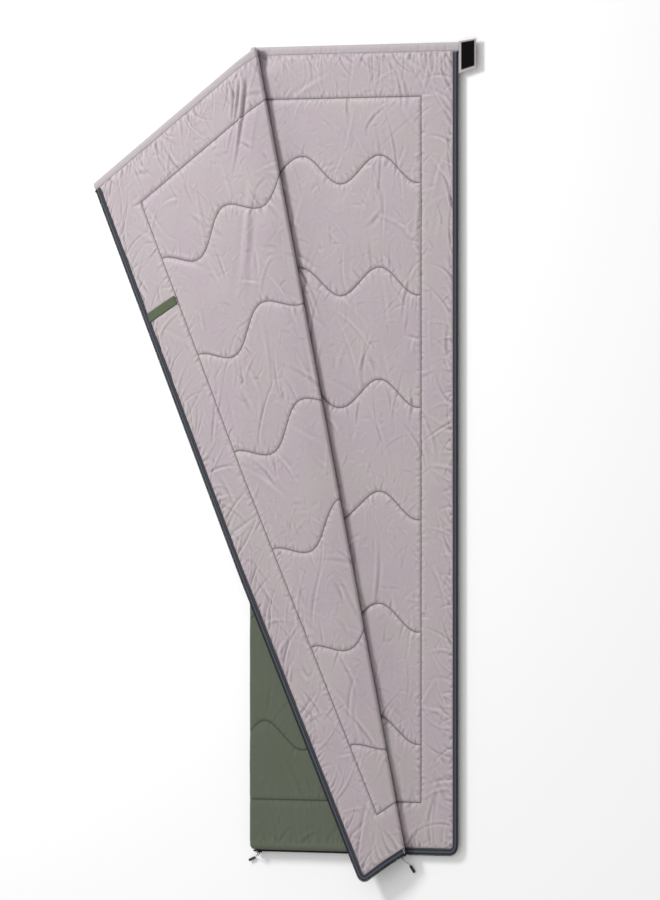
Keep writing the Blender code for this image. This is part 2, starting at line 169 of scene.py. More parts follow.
def rounded_corner(x, y):
    """Draws a square grid's outer corner in to the round one."""
    across = x - (RIGHT - CORNER_RADIUS)
    along = (FOOT + CORNER_RADIUS) - y
    inside = (across > 0) & (along > 0)
    square = np.maximum(np.abs(across), np.abs(along))
    share = np.where(inside, square / np.maximum(np.hypot(across, along), 1e-9), 1)
    return np.where(inside, x - across * (1 - share), x), np.where(inside, y + along * (1 - share), y)


# ---- wrinkles ----

HOLLOW_SHARE = 0.55
HOLLOW_OFFSET = 1.25
SEAM_PITCH = 0.0115
DRAG_PITCH = 0.0085
SOFT_FOLDS = 260
SMALL_CREASES = 1400


def along_seams(pitch, rng):
    """Points along every seam in u and y, with the seam's direction there."""
    found = []
    for row in range(ROWS):
        for u in np.arange(-SEAM_U, SEAM_U, pitch * 0.83):
            u += rng.uniform(-0.35, 0.35) * pitch
            found.append((u, row_y(u, row), math.atan2(row_slope(u), 1)))
    for end in (-SEAM_Y, SEAM_Y):
        for u in np.arange(-SEAM_U, SEAM_U, pitch):
            found.append((u + rng.uniform(-0.35, 0.35) * pitch, end, 0.0))
    for side in (-SEAM_U, SEAM_U):
        for y in np.arange(-SEAM_Y, SEAM_Y, pitch):
            found.append((side, y + rng.uniform(-0.35, 0.35) * pitch, math.pi / 2))
    return found


def add_wrinkle(height, xs, ys, place, angle, length, width, rise, bow=0.0, start=0.25):
    """One crest with a hollow beside it.  It swells over the start share of its length, then fades."""
    reach = 0.5 * length + 3 * width
    mid = (place[0] + 0.5 * length * math.cos(angle), place[1] + 0.5 * length * math.sin(angle))
    i0, i1 = np.searchsorted(ys, (mid[1] - reach, mid[1] + reach))
    j0, j1 = np.searchsorted(xs, (mid[0] - reach, mid[0] + reach))
    if i0 == i1 or j0 == j1:
        return
    dx = xs[None, j0:j1] - place[0]
    dy = ys[i0:i1, None] - place[1]
    along = (dx * math.cos(angle) + dy * math.sin(angle)) / length
    across = (dy * math.cos(angle) - dx * math.sin(angle)) / width
    across = across - bow * along * along * length / width
    swell = smooth(along, 0.0, start) * (1 - smooth(along, start, 1.0))
    crest = np.exp(-across * across) - HOLLOW_SHARE * np.exp(-((across - HOLLOW_OFFSET) ** 2))
    height[i0:i1, j0:j1] += rise * swell * crest


PLEAT_X = -0.306
PLEAT_Y = 1.066
# Deep pleats that run down from the hem beside the creased edge: x, y, angle, length, width, rise.
PLEATS = tuple(
    (PLEAT_X + dx, PLEAT_Y - dy, math.radians(angle), length, width, rise)
    for dx, dy, angle, length, width, rise in (
        (0.000, 0.000, -58, 0.34, 0.0070, -0.0060),
        (0.020, 0.004, -60, 0.32, 0.0060, 0.0030),
        (0.034, 0.010, -55, 0.24, 0.0050, -0.0042),
        (0.060, 0.006, -62, 0.20, 0.0055, -0.0036),
        (0.120, 0.250, -60, 0.42, 0.0160, 0.0030),
        (0.150, 0.300, -66, 0.36, 0.0150, -0.0030),
    )
)


def wrinkles(xs, ys, half, rng, strength):
    """Heights of the puckers at the seams, the drag lines in the borders and the soft folds."""
    height = np.zeros((len(ys), len(xs)))

    def from_u(u):
        return LEFT + half * u

    for u, y, direction in along_seams(SEAM_PITCH, rng):
        x = from_u(u)
        if not xs[0] < x < xs[-1]:
            continue
        for side in (-1, 1):
            if rng.random() < 0.25:
                continue
            angle = half * direction + side * math.pi / 2 + rng.normal(0, 0.38)
            length = rng.uniform(0.012, 0.034) * (1.0 + 1.4 * (rng.random() < 0.15))
            rise = rng.uniform(0.3, 1.0) * rng.choice((0.0019, -0.0024))
            width = rng.uniform(0.0026, 0.0046)
            add_wrinkle(height, xs, ys, (x, y), angle, length, width, rise, 0.0, 0.14)
    inner = RIGHT - TAPE_W
    for y in np.arange(FOOT, HEM_Y, DRAG_PITCH):
        place = (inner, y + rng.normal(0, 0.004))
        lean = -0.42 - 0.62 * smooth(y, 0.1, 0.9) + 0.30 * math.sin(7.1 * y + 1.0)
        lean += rng.normal(0, 0.22)
        length = rng.choice((0.022, 0.050, 0.110, 0.17), p=(0.45, 0.27, 0.18, 0.10))
        rise = rng.uniform(0.4, 1.0) * rng.choice((0.0024, -0.0030))
        angle = math.pi + lean
        width = rng.uniform(0.0030, 0.0055)
        add_wrinkle(height, xs, ys, place, angle, length, width, rise, rng.normal(0, 0.7), 0.12)
    for x in np.arange(LEFT, RIGHT, DRAG_PITCH):
        for edge, outward in ((HEM_Y, -1), (FOOT + TAPE_W, 1)):
            length = rng.choice((0.020, 0.045, 0.110), p=(0.40, 0.32, 0.28))
            angle = outward * math.pi / 2 - 0.35 * outward + rng.normal(0, 0.22)
            rise = rng.uniform(0.4, 1.0) * rng.choice((0.0022, -0.0032))
            width = rng.uniform(0.0030, 0.0055)
            bow = rng.normal(0, 0.6)
            add_wrinkle(height, xs, ys, (x, edge), angle, length, width, rise, bow, 0.12)
    for _ in range(SOFT_FOLDS):
        place = (rng.uniform(xs[0], xs[-1]), rng.uniform(ys[0], ys[-1]))
        angle = math.pi / 2 + 0.25 * math.sin(5 * place[1]) + rng.normal(0, 0.40)
        length = rng.uniform(0.06, 0.26)
        rise = rng.uniform(0.2, 1.0) * rng.choice((0.0016, -0.0026))
        width = rng.uniform(0.0040, 0.0085)
        add_wrinkle(height, xs, ys, place, angle, length, width, rise, rng.normal(0, 0.45), 0.40)
    for _ in range(SMALL_CREASES):
        place = (rng.uniform(xs[0], xs[-1]), rng.uniform(ys[0], ys[-1]))
        angle = math.pi / 2 + rng.normal(0, 0.9)
        length = rng.uniform(0.020, 0.060)
        rise = rng.uniform(0.2, 1.0) * rng.choice((0.0008, -0.0012))
        width = rng.uniform(0.0030, 0.0060)
        add_wrinkle(height, xs, ys, place, angle, length, width, rise, rng.normal(0, 1.0), 0.5)
    if half < 0:
        for x, y, angle, length, width, rise in PLEATS:
            add_wrinkle(height, xs, ys, (x, y), angle, length, width, rise, 0.15, 0.25)
    return strength * height


def swells(xs, ys, rng, rise, size):
    """Slow lumps of the fill, from a coarse grid of random heights."""
    rows = max(int((ys[-1] - ys[0]) / size), 4)
    columns = max(int((xs[-1] - xs[0]) / size), 4)
    coarse = rng.normal(0, rise, (rows, columns))
    i = np.linspace(0, rows - 1.001, len(ys))
    j = np.linspace(0, columns - 1.001, len(xs))
    i0 = i.astype(int)
    j0 = j.astype(int)
    fi = smooth(i - i0, 0, 1)[:, None]
    fj = smooth(j - j0, 0, 1)[None, :]
    near = coarse[i0][:, j0] * (1 - fj) + coarse[i0][:, j0 + 1] * fj
    far = coarse[i0 + 1][:, j0] * (1 - fj) + coarse[i0 + 1][:, j0 + 1] * fj
    return near * (1 - fi) + far * fi


SIDE_R = MEETING_Z
ROLL_LEFT = SIDE_ROLL_X - SIDE_R * math.pi / 2
SHELL_EDGE = 0.0055
PILLOW_EDGE = 0.022
PILLOW_DROP = 0.0130
UNDER_TAPE = 0.0018
UNDER_HEM = 0.0040
ROLL_DIP = 0.0012
# Shares of a cloth's relief that it is pulled down by: everywhere, at a seam, round a seam and at
# the border.
FLAT_DIP = 0.14
SEAM_DIP = 0.55
SEAM_REACH = 0.0040
BROAD_DIP = 0.28
BROAD_REACH = 0.025
BORDER_DIP = 0.35
BORDER_REACH = 0.008
DEEPEST = 1.35
CREASE_RISE = 38.0
STRAP_FLAT = (0.120, 0.026)
STRAP_BELOW_TOP = 0.4410
STRAP_SLANT = math.radians(4.5)
STRAP_T = 0.0012
STRAP_LIFT = 0.0003
STRAP_PRESS = 0.0018
STRAP_SUNK = 0.0005


def flat_u(x):
    """Distance from the folded side, which the lining creases sharply at."""
    return x - LEFT


def seam_u(x):
    """Distance round from the middle of the folded side, which a rolled edge makes a little longer."""
    rolled = (x - ROLL_LEFT) * (SIDE_ROLL_X - LEFT) / (SIDE_ROLL_X - ROLL_LEFT)
    return np.where(x < SIDE_ROLL_X, rolled, x - LEFT)


def quilted(xs, ys, half, seed, relief, strength, shell):
    """x, y and height of one quilted cloth.  Height 0 is the face of the layer, less is into it.

    half is 1 where u grows with x, and -1 on the upper half, which is drawn closed."""
    rng = np.random.default_rng(seed)
    x, y = np.meshgrid(xs, ys)
    u = seam_u(x) if shell else flat_u(x)
    distance = seam_distance(half * u, y)
    inset = edge_inset(x, y)
    border = np.maximum(np.minimum(inset - TAPE_W, HEM_Y - y), 0)
    near_seam = SEAM_DIP * np.exp(-distance / SEAM_REACH)
    height = -relief * (FLAT_DIP + near_seam + BROAD_DIP * np.exp(-distance / BROAD_REACH))
    height -= BORDER_DIP * relief * np.exp(-border / BORDER_REACH)
    loose = 1 - 0.75 * np.exp(-((distance / SEAM_REACH) ** 2))
    loose *= 1 - 0.6 * np.exp(-((border / SEAM_REACH) ** 2))
    loose *= smooth(x, xs[0], xs[0] + 0.016)
    height += loose * wrinkles(xs, ys, half, rng, strength)
    height += loose * (1 - np.exp(-distance / 0.03)) * swells(xs, ys, rng, 0.10 * relief, 0.07)
    proud = STAND_PROUD * np.tanh(np.maximum(height, 0) / STAND_PROUD)
    height = np.where(height > 0, proud, height)
    height = np.maximum(height, -DEEPEST * relief)
    if shell:
        past_roll = smooth(x, SIDE_ROLL_X, SIDE_ROLL_X + 0.030)
        height = np.maximum(height, -DEEPEST * relief * past_roll - ROLL_DIP * (1 - past_roll))
        share = np.clip((PILLOW_EDGE - inset) / (PILLOW_EDGE - SHELL_EDGE), 0, 1)
        height = np.minimum(height, 0) * (1 - share) - PILLOW_DROP * (1 - np.sqrt(1 - share * share))
    else:
        height = np.where(inset < TAPE_W + 0.001, np.minimum(height, -UNDER_TAPE), height)
        height = np.maximum(height, -CREASE_RISE * (x - LEFT) ** 2)
    x, y = rounded_corner(x, y)
    return x, y, height


def read_grid(xs, ys, height, x, y):
    """The height of a cloth at any place between its grid lines."""
    j = np.clip(np.searchsorted(xs, x) - 1, 0, len(xs) - 2)
    i = np.clip(np.searchsorted(ys, y) - 1, 0, len(ys) - 2)
    fj = np.clip((x - xs[j]) / (xs[j + 1] - xs[j]), 0, 1)
    fi = np.clip((y - ys[i]) / (ys[i + 1] - ys[i]), 0, 1)
    low = height[i, j] * (1 - fj) + height[i, j + 1] * fj
    high = height[i + 1, j] * (1 - fj) + height[i + 1, j + 1] * fj
    return low * (1 - fi) + high * fi


# ---- from the flat cloth to where it lies ----

CREASE_SETBACK_SHARE = 0.25
BEND_WIDTH = 0.050
FOLD_CUT = ROLL_CENTRE + 0.012
EDGE_SHARE = 0.26
EDGE_START = -0.020
EDGE_REACH = 0.090


def thinned(away):
    """The share of its thickness that the quilt keeps this far from the creased edge."""
    return EDGE_SHARE + (1 - EDGE_SHARE) * smooth(away, EDGE_START, EDGE_REACH)


def folded(points):
    """Turns points of the flat upper half back over the slanting fold, round its thin rolled edge."""
    from_fold = points - FOLD_POINT
    out = from_fold @ FOLD_NORMAL
    level = FOLD_Z - points[:, 2]
    edge_level = level + CREASE_SETBACK_SHARE * (ROLL_R - level)
    centre = ROLL_SETBACK + thinned(0.0) * edge_level
    angle = np.pi * np.clip((out + centre) / (2 * centre), 0, 1)
    away = np.maximum(np.abs(out), centre)
    thin = level * thinned(away)
    turned_out = np.where(out >= centre, -out, -centre + thin * np.sin(angle))
    still = out <= -centre
    moved = points.copy()
    moved += np.where(still, 0, turned_out - out)[:, None] * FOLD_NORMAL
    moved[:, 2] = FOLD_Z - thin * np.cos(angle)
    return moved


def draped(points):
    """Lets what reaches past the folded side hang down to the ground."""
    share = 1 - smooth(points[:, 0], LEFT - BEND_WIDTH / 2, LEFT + BEND_WIDTH / 2)
    dx = points[:, 0] - LEFT
    dz = points[:, 2] - BEND_Z
    moved = points.copy()
    moved[:, 0] += share * (dx * math.cos(DROOP) - dz * math.sin(DROOP) - dx)
    moved[:, 2] += share * (dz * math.cos(DROOP) + dx * math.sin(DROOP) - dz)
    return moved


def placed(points):
    return draped(folded(points))


def grid_faces(rows, columns, flip=False, closed=False):
    """Quads of a grid; closed joins its last column to its first."""
    across = np.arange(columns if closed else columns - 1)
    i, j = np.meshgrid(np.arange(rows - 1), across, indexing="ij")
    a = i * columns + j
    b = i * columns + (j + 1) % columns
    quads = np.stack((a, b, b + columns, a + columns), 2).reshape(-1, 4)
    return quads[:, ::-1] if flip else quads


def new_mesh(name, points, faces):
    mesh = bpy.data.meshes.new(name)
    mesh.from_pydata(points.tolist(), [], faces.tolist())
    return mesh


def set_points(mesh, points):
    mesh.vertices.foreach_set("co", points.astype(np.float32).ravel())
    mesh.update()


def points_of(mesh):
    flat = np.zeros(len(mesh.vertices) * 3, np.float32)
    mesh.vertices.foreach_get("co", flat)
    return flat.reshape(-1, 3).astype(float)


def add_cloth_map(mesh, flat):
    """Stores where each point lies on the flat cloth, in metres, for the weave."""
    layer = mesh.uv_layers.new(name="cloth")
    corner = np.zeros(len(mesh.loops), np.int32)
    mesh.loops.foreach_get("vertex_index", corner)
    layer.data.foreach_set("uv", flat[corner, :2].astype(np.float32).ravel())


def blurred(field, reach):
    """A field smoothed over this many grid steps each way."""
    steps = np.arange(-reach, reach + 1)
    kernel = np.exp(-((2 * steps / reach) ** 2))
    kernel /= kernel.sum()
    wide = np.pad(field, reach, mode="edge")
    rows = sum(k * wide[i : i + field.shape[0]] for i, k in enumerate(kernel))
    return sum(k * rows[:, j : j + field.shape[1]] for j, k in enumerate(kernel))


def add_seam_marks(mesh, flat, half, cloth):
    """Stores how far each point is to either side of the nearest row and of the seamed frame, which
    places the painted shade along the seam creases, and how deep it lies in a crease of the cloth,
    which sets the painted shade in creases and the painted light on ridges."""
    xs, ys, height, u_of = cloth
    # Crease depth, which sets the painted shade in creases and the painted light on ridges.
    hollow = np.clip((blurred(height, 5) - height) / CREASE_SHADE_DEPTH, -0.6, 1.0)
    depth = read_grid(xs, ys, hollow, flat[:, 0], flat[:, 1])
    mark = mesh.attributes.new("hollow", "FLOAT", "POINT")
    mark.data.foreach_set("value", depth.astype(np.float32))
    u = half * u_of(flat[:, 0])
    y = flat[:, 1]
    steep = np.sqrt(1 + row_slope(u) ** 2)
    offsets = np.stack([(y - row_y(u, row)) / steep for row in range(ROWS)])
    nearest = offsets[np.abs(offsets).argmin(0), np.arange(len(u))]
    nearest = np.where(np.abs(u) > SEAM_U + 0.0015, 1.0, nearest)
    around = np.maximum(np.abs(u) - SEAM_U, np.abs(y) - SEAM_Y)
    for name, values in (("row_side", nearest), ("frame_side", around)):
        mark = mesh.attributes.new(name, "FLOAT", "POINT")
        mark.data.foreach_set("value", np.clip(values, -1, 1).astype(np.float32))


def finished(name, mesh, material):
    mesh.name = name
    mesh.materials.append(material)
    mesh.shade_smooth()
    piece = bpy.data.objects.new(name, mesh)
    bpy.context.scene.collection.objects.link(piece)
    return piece


def cut_at_fold(mesh, keep_flap):
    """The part of a flat mesh on one side of the line where the rolled edge ends."""
    work = bmesh.new()
    work.from_mesh(mesh)
    place = FOLD_POINT + FOLD_CUT * FOLD_NORMAL
    bmesh.ops.bisect_plane(
        work,
        geom=work.verts[:] + work.edges[:] + work.faces[:],
        dist=1e-6,
        plane_co=Vector(place),
        plane_no=Vector(FOLD_NORMAL),
        clear_inner=keep_flap,
        clear_outer=not keep_flap,
    )
    part = bpy.data.meshes.new(mesh.name)
    work.to_mesh(part)
    work.free()
    return part


def over_fold(piece):
    """Bakes a piece's place into its points."""
    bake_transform(piece)


def over_side(piece):
    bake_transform(piece)


def over_bend(piece):
    """Bakes a piece's place into its points."""
    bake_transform(piece)


def upper_pair(names, mesh, material, cloth=None, mapped=False):
    """A flat mesh of the upper half as two pieces: one rolls over the fold and one lies back.

    Mapped is for a mesh that already has its cloth map."""
    pieces = []
    for name, keep_flap in zip(names, (False, True)):
        part = cut_at_fold(mesh, keep_flap)
        flat = points_of(part)
        if not mapped:
            add_cloth_map(part, flat)
        if cloth:
            add_seam_marks(part, flat, -1, cloth)
        set_points(part, placed(flat))
        piece = finished(name, part, material)
        if keep_flap:
            over_bend(piece)
        else:
            over_fold(piece)
        pieces.append(piece)
    return pieces


# ---- materials ----


def linear(r, g, b):
    """A colour given as it looks on a screen, 0 to 255, as the shader's linear value."""

    def one(value):
        value /= 255
        return value / 12.92 if value <= 0.04045 else ((value + 0.055) / 1.055) ** 2.4

    return (one(r), one(g), one(b), 1.0)


def feed(tree, node, sources):
    """Links a node's inputs from these outputs, or sets them where a plain value is given."""
    for key, source in sources.items():
        if isinstance(source, bpy.types.NodeSocket):
            tree.links.new(source, node.inputs[key])
        else:
            node.inputs[key].default_value = source


def made(tree, kind, out, sources, **settings):
    """Adds a node with these settings and inputs, and gives back one of its outputs."""
    node = tree.nodes.new(kind)
    for key, value in settings.items():
        setattr(node, key, value)
    feed(tree, node, sources)
    return node.outputs[out]


def new_finish(name):
    material = bpy.data.materials.new(name)
    material.use_nodes = True
    return material, material.node_tree


def on_cloth(tree):
    """The place on the flat cloth, in metres."""
    return made(tree, "ShaderNodeUVMap", "UV", {}, uv_map="cloth")


def set_looks(tree, looks):
    feed(tree, tree.nodes["Principled BSDF"], looks)


def noise(tree, where, **sizes):
    sources = {"Vector": where}
    sources.update(sizes)
    return made(tree, "ShaderNodeTexNoise", "Fac", sources)


def bands(tree, where, direction, scale):
    sources = {"Vector": where, "Scale": scale}
    settings = {"wave_type": "BANDS", "bands_direction": direction}
    return made(tree, "ShaderNodeTexWave", "Fac", sources, **settings)


def calculated(tree, operation, first, second=0.5):
    return made(tree, "ShaderNodeMath", "Value", {0: first, 1: second}, operation=operation)


def mixed(tree, share, first, second):
    return made(tree, "ShaderNodeMix", 2, {0: share, 6: first, 7: second}, data_type="RGBA")


def ranged(tree, source, low, high, to_low=0.0, to_high=1.0, kind="LINEAR"):
    ends = {"Value": source, "From Min": low, "From Max": high, "To Min": to_low, "To Max": to_high}
    return made(tree, "ShaderNodeMapRange", "Result", ends, interpolation_type=kind)


def bump(tree, height, strength, distance):
    sources = {"Height": height, "Strength": strength, "Distance": distance}
    return made(tree, "ShaderNodeBump", "Normal", sources)


def painted_seam_shade_mask(tree, width):
    """1 in the crease of a seam, falling to 0 at this distance from it: where the painted seam shade
    goes.
    """
    lines = []
    for name in ("row_side", "frame_side"):
        mark = made(tree, "ShaderNodeAttribute", "Fac", {}, attribute_name=name)
        size = calculated(tree, "ABSOLUTE", mark)
        lines.append(ranged(tree, size, 0.0, width, 1.0, 0.0, "SMOOTHSTEP"))
    return calculated(tree, "MAXIMUM", *lines)


WEAVE_SHARE = 0.10
# Strength and darkness of the painted shade along the seam creases.
PAINTED_SEAM_SHADE_SHARE = 0.62
PAINTED_SEAM_DARKNESS = 0.30
# Painted light: the cloth colour is scaled up on ridges and down in creases by crease depth.
PAINTED_RIDGE_LIGHT = 1.12
PAINTED_CREASE_SHADE = 0.66


def woven_cloth(name, colour, shade, warm, roughness, sheen, thread, crumple, with_painted_seam_shade=True):
    """Fine plain weave with soft creases too small to model and a faint drift of colour, with painted
    shade in its creases and along its seams and painted light on its ridges.
    """
    material, tree = new_finish(name)
    where = on_cloth(tree)
    drift = noise(tree, where, Scale=5.0, Detail=3.0, Roughness=0.6)
    tint = mixed(tree, ranged(tree, drift, 0.35, 0.68), colour, warm)
    warp = bands(tree, where, "X", thread)
    weft = bands(tree, where, "Y", thread)
    weave = calculated(tree, "ADD", warp, weft)
    cloth_colour = mixed(tree, calculated(tree, "MULTIPLY", weave, WEAVE_SHARE), tint, shade)
    # Painted shade: a dark line is mixed into the colour along each seam's crease.
    if with_painted_seam_shade:
        share = calculated(tree, "MULTIPLY", painted_seam_shade_mask(tree, PAINTED_SEAM_SHADE_WIDTH), PAINTED_SEAM_SHADE_SHARE)
        dark = tuple(PAINTED_SEAM_DARKNESS * value for value in shade[:3]) + (1.0,)
        cloth_colour = mixed(tree, share, cloth_colour, dark)
    # Painted shade in the creases and painted highlight on the ridges, from the stored crease depth.
    hollow = made(tree, "ShaderNodeAttribute", "Fac", {}, attribute_name="hollow")
    light = ranged(tree, hollow, -0.6, 1.0, PAINTED_RIDGE_LIGHT, PAINTED_CREASE_SHADE)
    colour_under_painted_crease_light = {0: cloth_colour, "Scale": light}
    crease = noise(tree, where, Scale=70.0, Detail=4.0, Roughness=0.55, Distortion=1.2)
    mapping = {"Vector": where, "Scale": (1.0, 0.35, 1.0), "Rotation": (0, 0, 0.3)}
    stretched = made(tree, "ShaderNodeMapping", "Vector", mapping)
    drag = noise(tree, stretched, Scale=28.0, Detail=2.0, Distortion=2.0)
    rumple = bump(tree, calculated(tree, "ADD", crease, drag), crumple, 0.0016)
    fine = {"Height": weave, "Strength": 0.25, "Distance": 0.00012, "Normal": rumple}
    looks = {
        "Base Color": made(tree, "ShaderNodeVectorMath", "Vector", colour_under_painted_crease_light, operation="SCALE"),
        "Normal": made(tree, "ShaderNodeBump", "Normal", fine),
        "Roughness": roughness,
        "Sheen Weight": sheen,
        "Sheen Roughness": 0.45,
        "Specular IOR Level": 0.30,
    }
    set_looks(tree, looks)
    return material


LINING = woven_cloth(
    "lining_cloth",
    linear(176, 163, 170),
    linear(150, 138, 145),
    linear(177, 168, 168),
    0.50,
    0.25,
    900.0,
    0.55,
)
SHELL = woven_cloth(
    "shell_cloth",
    linear(86, 94, 77),
    linear(64, 71, 56),
    linear(90, 96, 81),
    0.68,
    0.08,
    700.0,
    0.30,
)
HEM_CLOTH = woven_cloth(
    "hem_cloth",
    linear(176, 167, 172),
    linear(150, 141, 147),
    linear(174, 166, 167),
    0.55,
    0.20,
    900.0,
    0.55,
    False,
)


def zip_tape_finish():
    """Slate tape with a dark seam line along its middle; u runs along it and v across, in metres."""
    material, tree = new_finish("zip_tape_weave")
    where = on_cloth(tree)
    across = made(tree, "ShaderNodeSeparateXYZ", "Y", {0: where})
    ramp = tree.nodes.new("ShaderNodeValToRGB")
    feed(tree, ramp, {0: ranged(tree, across, COIL_W, TAPE_W)})
    stops = (
        (0.00, (22, 23, 28)),
        (0.16, (30, 32, 38)),
        (0.24, (66, 70, 82)),
        (0.52, (70, 74, 86)),
        (0.57, (22, 23, 28)),
        (0.74, (22, 23, 28)),
        (0.79, (64, 67, 78)),
        (1.00, (50, 53, 62)),
    )
    while len(ramp.color_ramp.elements) < len(stops):
        ramp.color_ramp.elements.new(0.5)
    for element, (position, colour) in zip(ramp.color_ramp.elements, stops):
        element.position = position
        element.color = linear(*colour)
    looks = {
        "Base Color": ramp.outputs["Color"],
        "Normal": bump(tree, bands(tree, where, "X", 260.0), 0.5, 0.0003),
        "Roughness": 0.75,
        "Sheen Weight": 0.08,
        "Specular IOR Level": 0.25,
    }
    set_looks(tree, looks)
    return material


def plain_finish(name, colour, roughness, metallic=0.0, grain=400.0, depth=0.00015, gloss=0.5):
    """A moulded or cast surface with fine grain."""
    material, tree = new_finish(name)
    place = made(tree, "ShaderNodeTexCoord", "Object", {})
    grains = noise(tree, place, Scale=grain, Detail=3.0)
    looks = {
        "Base Color": colour,
        "Metallic": metallic,
        "Roughness": ranged(tree, grains, 0.0, 1.0, max(roughness - 0.10, 0.05), roughness + 0.10),
        "Normal": bump(tree, grains, 0.3, depth),
        "Specular IOR Level": gloss,
    }
    set_looks(tree, looks)
    return material


TAPE = zip_tape_finish()
COIL = plain_finish("coil_nylon", linear(26, 27, 32), 0.45, gloss=0.35)
# The lining's thread, drawn darker than the cloth as painted shade for the crease it lies in.
SHADE_DARKENED_THREAD = plain_finish("seam_thread", linear(112, 102, 108), 0.75)
GREEN_THREAD = plain_finish("shell_thread", linear(48, 53, 43), 0.75)
BLACK_METAL = plain_finish("black_enamel", linear(28, 28, 30), 0.35, 0.6)
HOOK_BLACK = plain_finish("hook_tape", linear(10, 10, 11), 0.85, 0.0, 900.0, 0.0004, 0.04)
CORD_GREY = plain_finish("pull_cord_braid", linear(150, 150, 154), 0.8)
GRIP_BLACK = plain_finish("grip_rubber", linear(24, 24, 25), 0.5)


def webbing_finish():
    """Ribbed green webbing; u runs along it and v across, in metres."""
    material, tree = new_finish("ribbed_webbing")
    where = on_cloth(tree)
    ribs = calculated(tree, "ADD", bands(tree, where, "X", 210.0), bands(tree, where, "Y", 120.0))
    looks = {
        "Base Color": mixed(tree, ribs, linear(62, 71, 54), linear(88, 99, 75)),
        "Normal": bump(tree, ribs, 0.6, 0.0004),
        "Roughness": 0.8,
        "Specular IOR Level": 0.25,
    }
    set_looks(tree, looks)
    return material


WEBBING = webbing_finish()


# ---- quilted cloths ----


def columns(left, right, step):
    return np.linspace(left, right, max(round(abs(right - left) / step), 1) + 1)


def face_points(x, y, height, level, sign):
    """Puts heights on the face at this level; sign is 1 where the face looks up in the flat quilt."""
    return np.stack((x, y, level + sign * height), 2).reshape(-1, 3)


FOLD_SWELL = 0.0070
SWELL_WIDTH = 0.050


def fold_swell(x, y):
    """The lower half plumps up a little where the creased edge lets it."""
    out = (x - FOLD_POINT[0]) * FOLD_NORMAL[0] + (y - FOLD_POINT[1]) * FOLD_NORMAL[1]
    inside = smooth(edge_inset(x, y), 0.022, 0.070) * smooth(HEM_Y - y, 0.002, 0.050)
    return FOLD_SWELL * inside * np.exp(-((out / SWELL_WIDTH) ** 2))


def pressed_by_strap(x, y, height):
    """The sewn strap holds the cloth down under it."""
    dx = x - (RIGHT - TAPE_W)
    dy = y - (TOP - STRAP_BELOW_TOP)
    u = dx * math.cos(STRAP_SLANT) + dy * math.sin(STRAP_SLANT)
    v = dy * math.cos(STRAP_SLANT) - dx * math.sin(STRAP_SLANT)
    under = (u > -STRAP_FLAT[0] - 0.004) & (np.abs(v) < STRAP_FLAT[1] / 2 + 0.003)
    return np.where(under, np.minimum(height, -STRAP_PRESS), height)


CREASE_X = LEFT + 0.0030
lining_xs = columns(CREASE_X, RIGHT - LINING_EDGE, LINING_STEP)
lining_ys = columns(FOOT + LINING_EDGE, HEM_Y + UNDER_HEM, LINING_STEP)
rolled_xs = columns(ROLL_LEFT, SIDE_ROLL_X, ROLL_STEP)
level_xs = columns(SIDE_ROLL_X, RIGHT - SHELL_EDGE, SHELL_STEP)
shell_xs = np.concatenate((rolled_xs[:-1], level_xs))
shell_ys = columns(FOOT + SHELL_EDGE, HEM_Y + UNDER_HEM, SHELL_STEP)
SIDE_COLUMN = int(np.searchsorted(shell_xs, SIDE_ROLL_X - 1e-9))

lining_x, lining_y, height = quilted(lining_xs, lining_ys, 1, 11, LINING_RELIEF, 1.0, False)
base_lining = (lining_x, lining_y, height + fold_swell(lining_x, lining_y))
lining_x, lining_y, height = quilted(lining_xs, lining_ys, -1, 23, LINING_RELIEF, 1.0, False)
upper_lining = (lining_x, lining_y, pressed_by_strap(lining_x, lining_y, height))
base_shell = quilted(shell_xs, shell_ys, 1, 31, SHELL_RELIEF, 0.5, True)
upper_shell = quilted(shell_xs, shell_ys, -1, 47, SHELL_RELIEF, 0.5, True)


def padded_piece(piece, slot, *nodes):
    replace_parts(piece, *nodes)


def round_side(points, sign):
    """Rolls the part of a flat shell that is left of the side roll's start round the folded side."""
    turn = np.maximum(SIDE_ROLL_X - points[:, 0], 0) / SIDE_R
    radius = sign * (points[:, 2] - MEETING_Z)
    rolled = points.copy()
    rolled[:, 0] = np.where(turn > 0, SIDE_ROLL_X - radius * np.sin(turn), points[:, 0])
    rolled[:, 2] = np.where(turn > 0, MEETING_Z + sign * radius * np.cos(turn), points[:, 2])
    return rolled


def make_base_cloths():
    x, y, height = base_lining
    points = face_points(x, y, height, LINING_Z, 1)
    mesh = new_mesh("base_lining_cloth", points, grid_faces(*x.shape))
    add_cloth_map(mesh, points)
    add_seam_marks(mesh, points, 1, (lining_xs, lining_ys, height, flat_u))
    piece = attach(finished("base_lining_cloth", mesh, LINING), "base")
    padded_piece(piece, "greige_lining", "base_lining", "base_fill")
    x, y, height = (field[:, SIDE_COLUMN:] for field in base_shell)
    points = face_points(x, y, height, 0.0, -1)
    mesh = new_mesh("base_shell_cloth", points, grid_faces(*x.shape, flip=True))
    add_cloth_map(mesh, points)
    add_seam_marks(mesh, points, 1, (shell_xs, shell_ys, base_shell[2], seam_u))
    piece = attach(finished("base_shell_cloth", mesh, SHELL), "base")
    padded_piece(piece, "olive_shell", "base_shell")


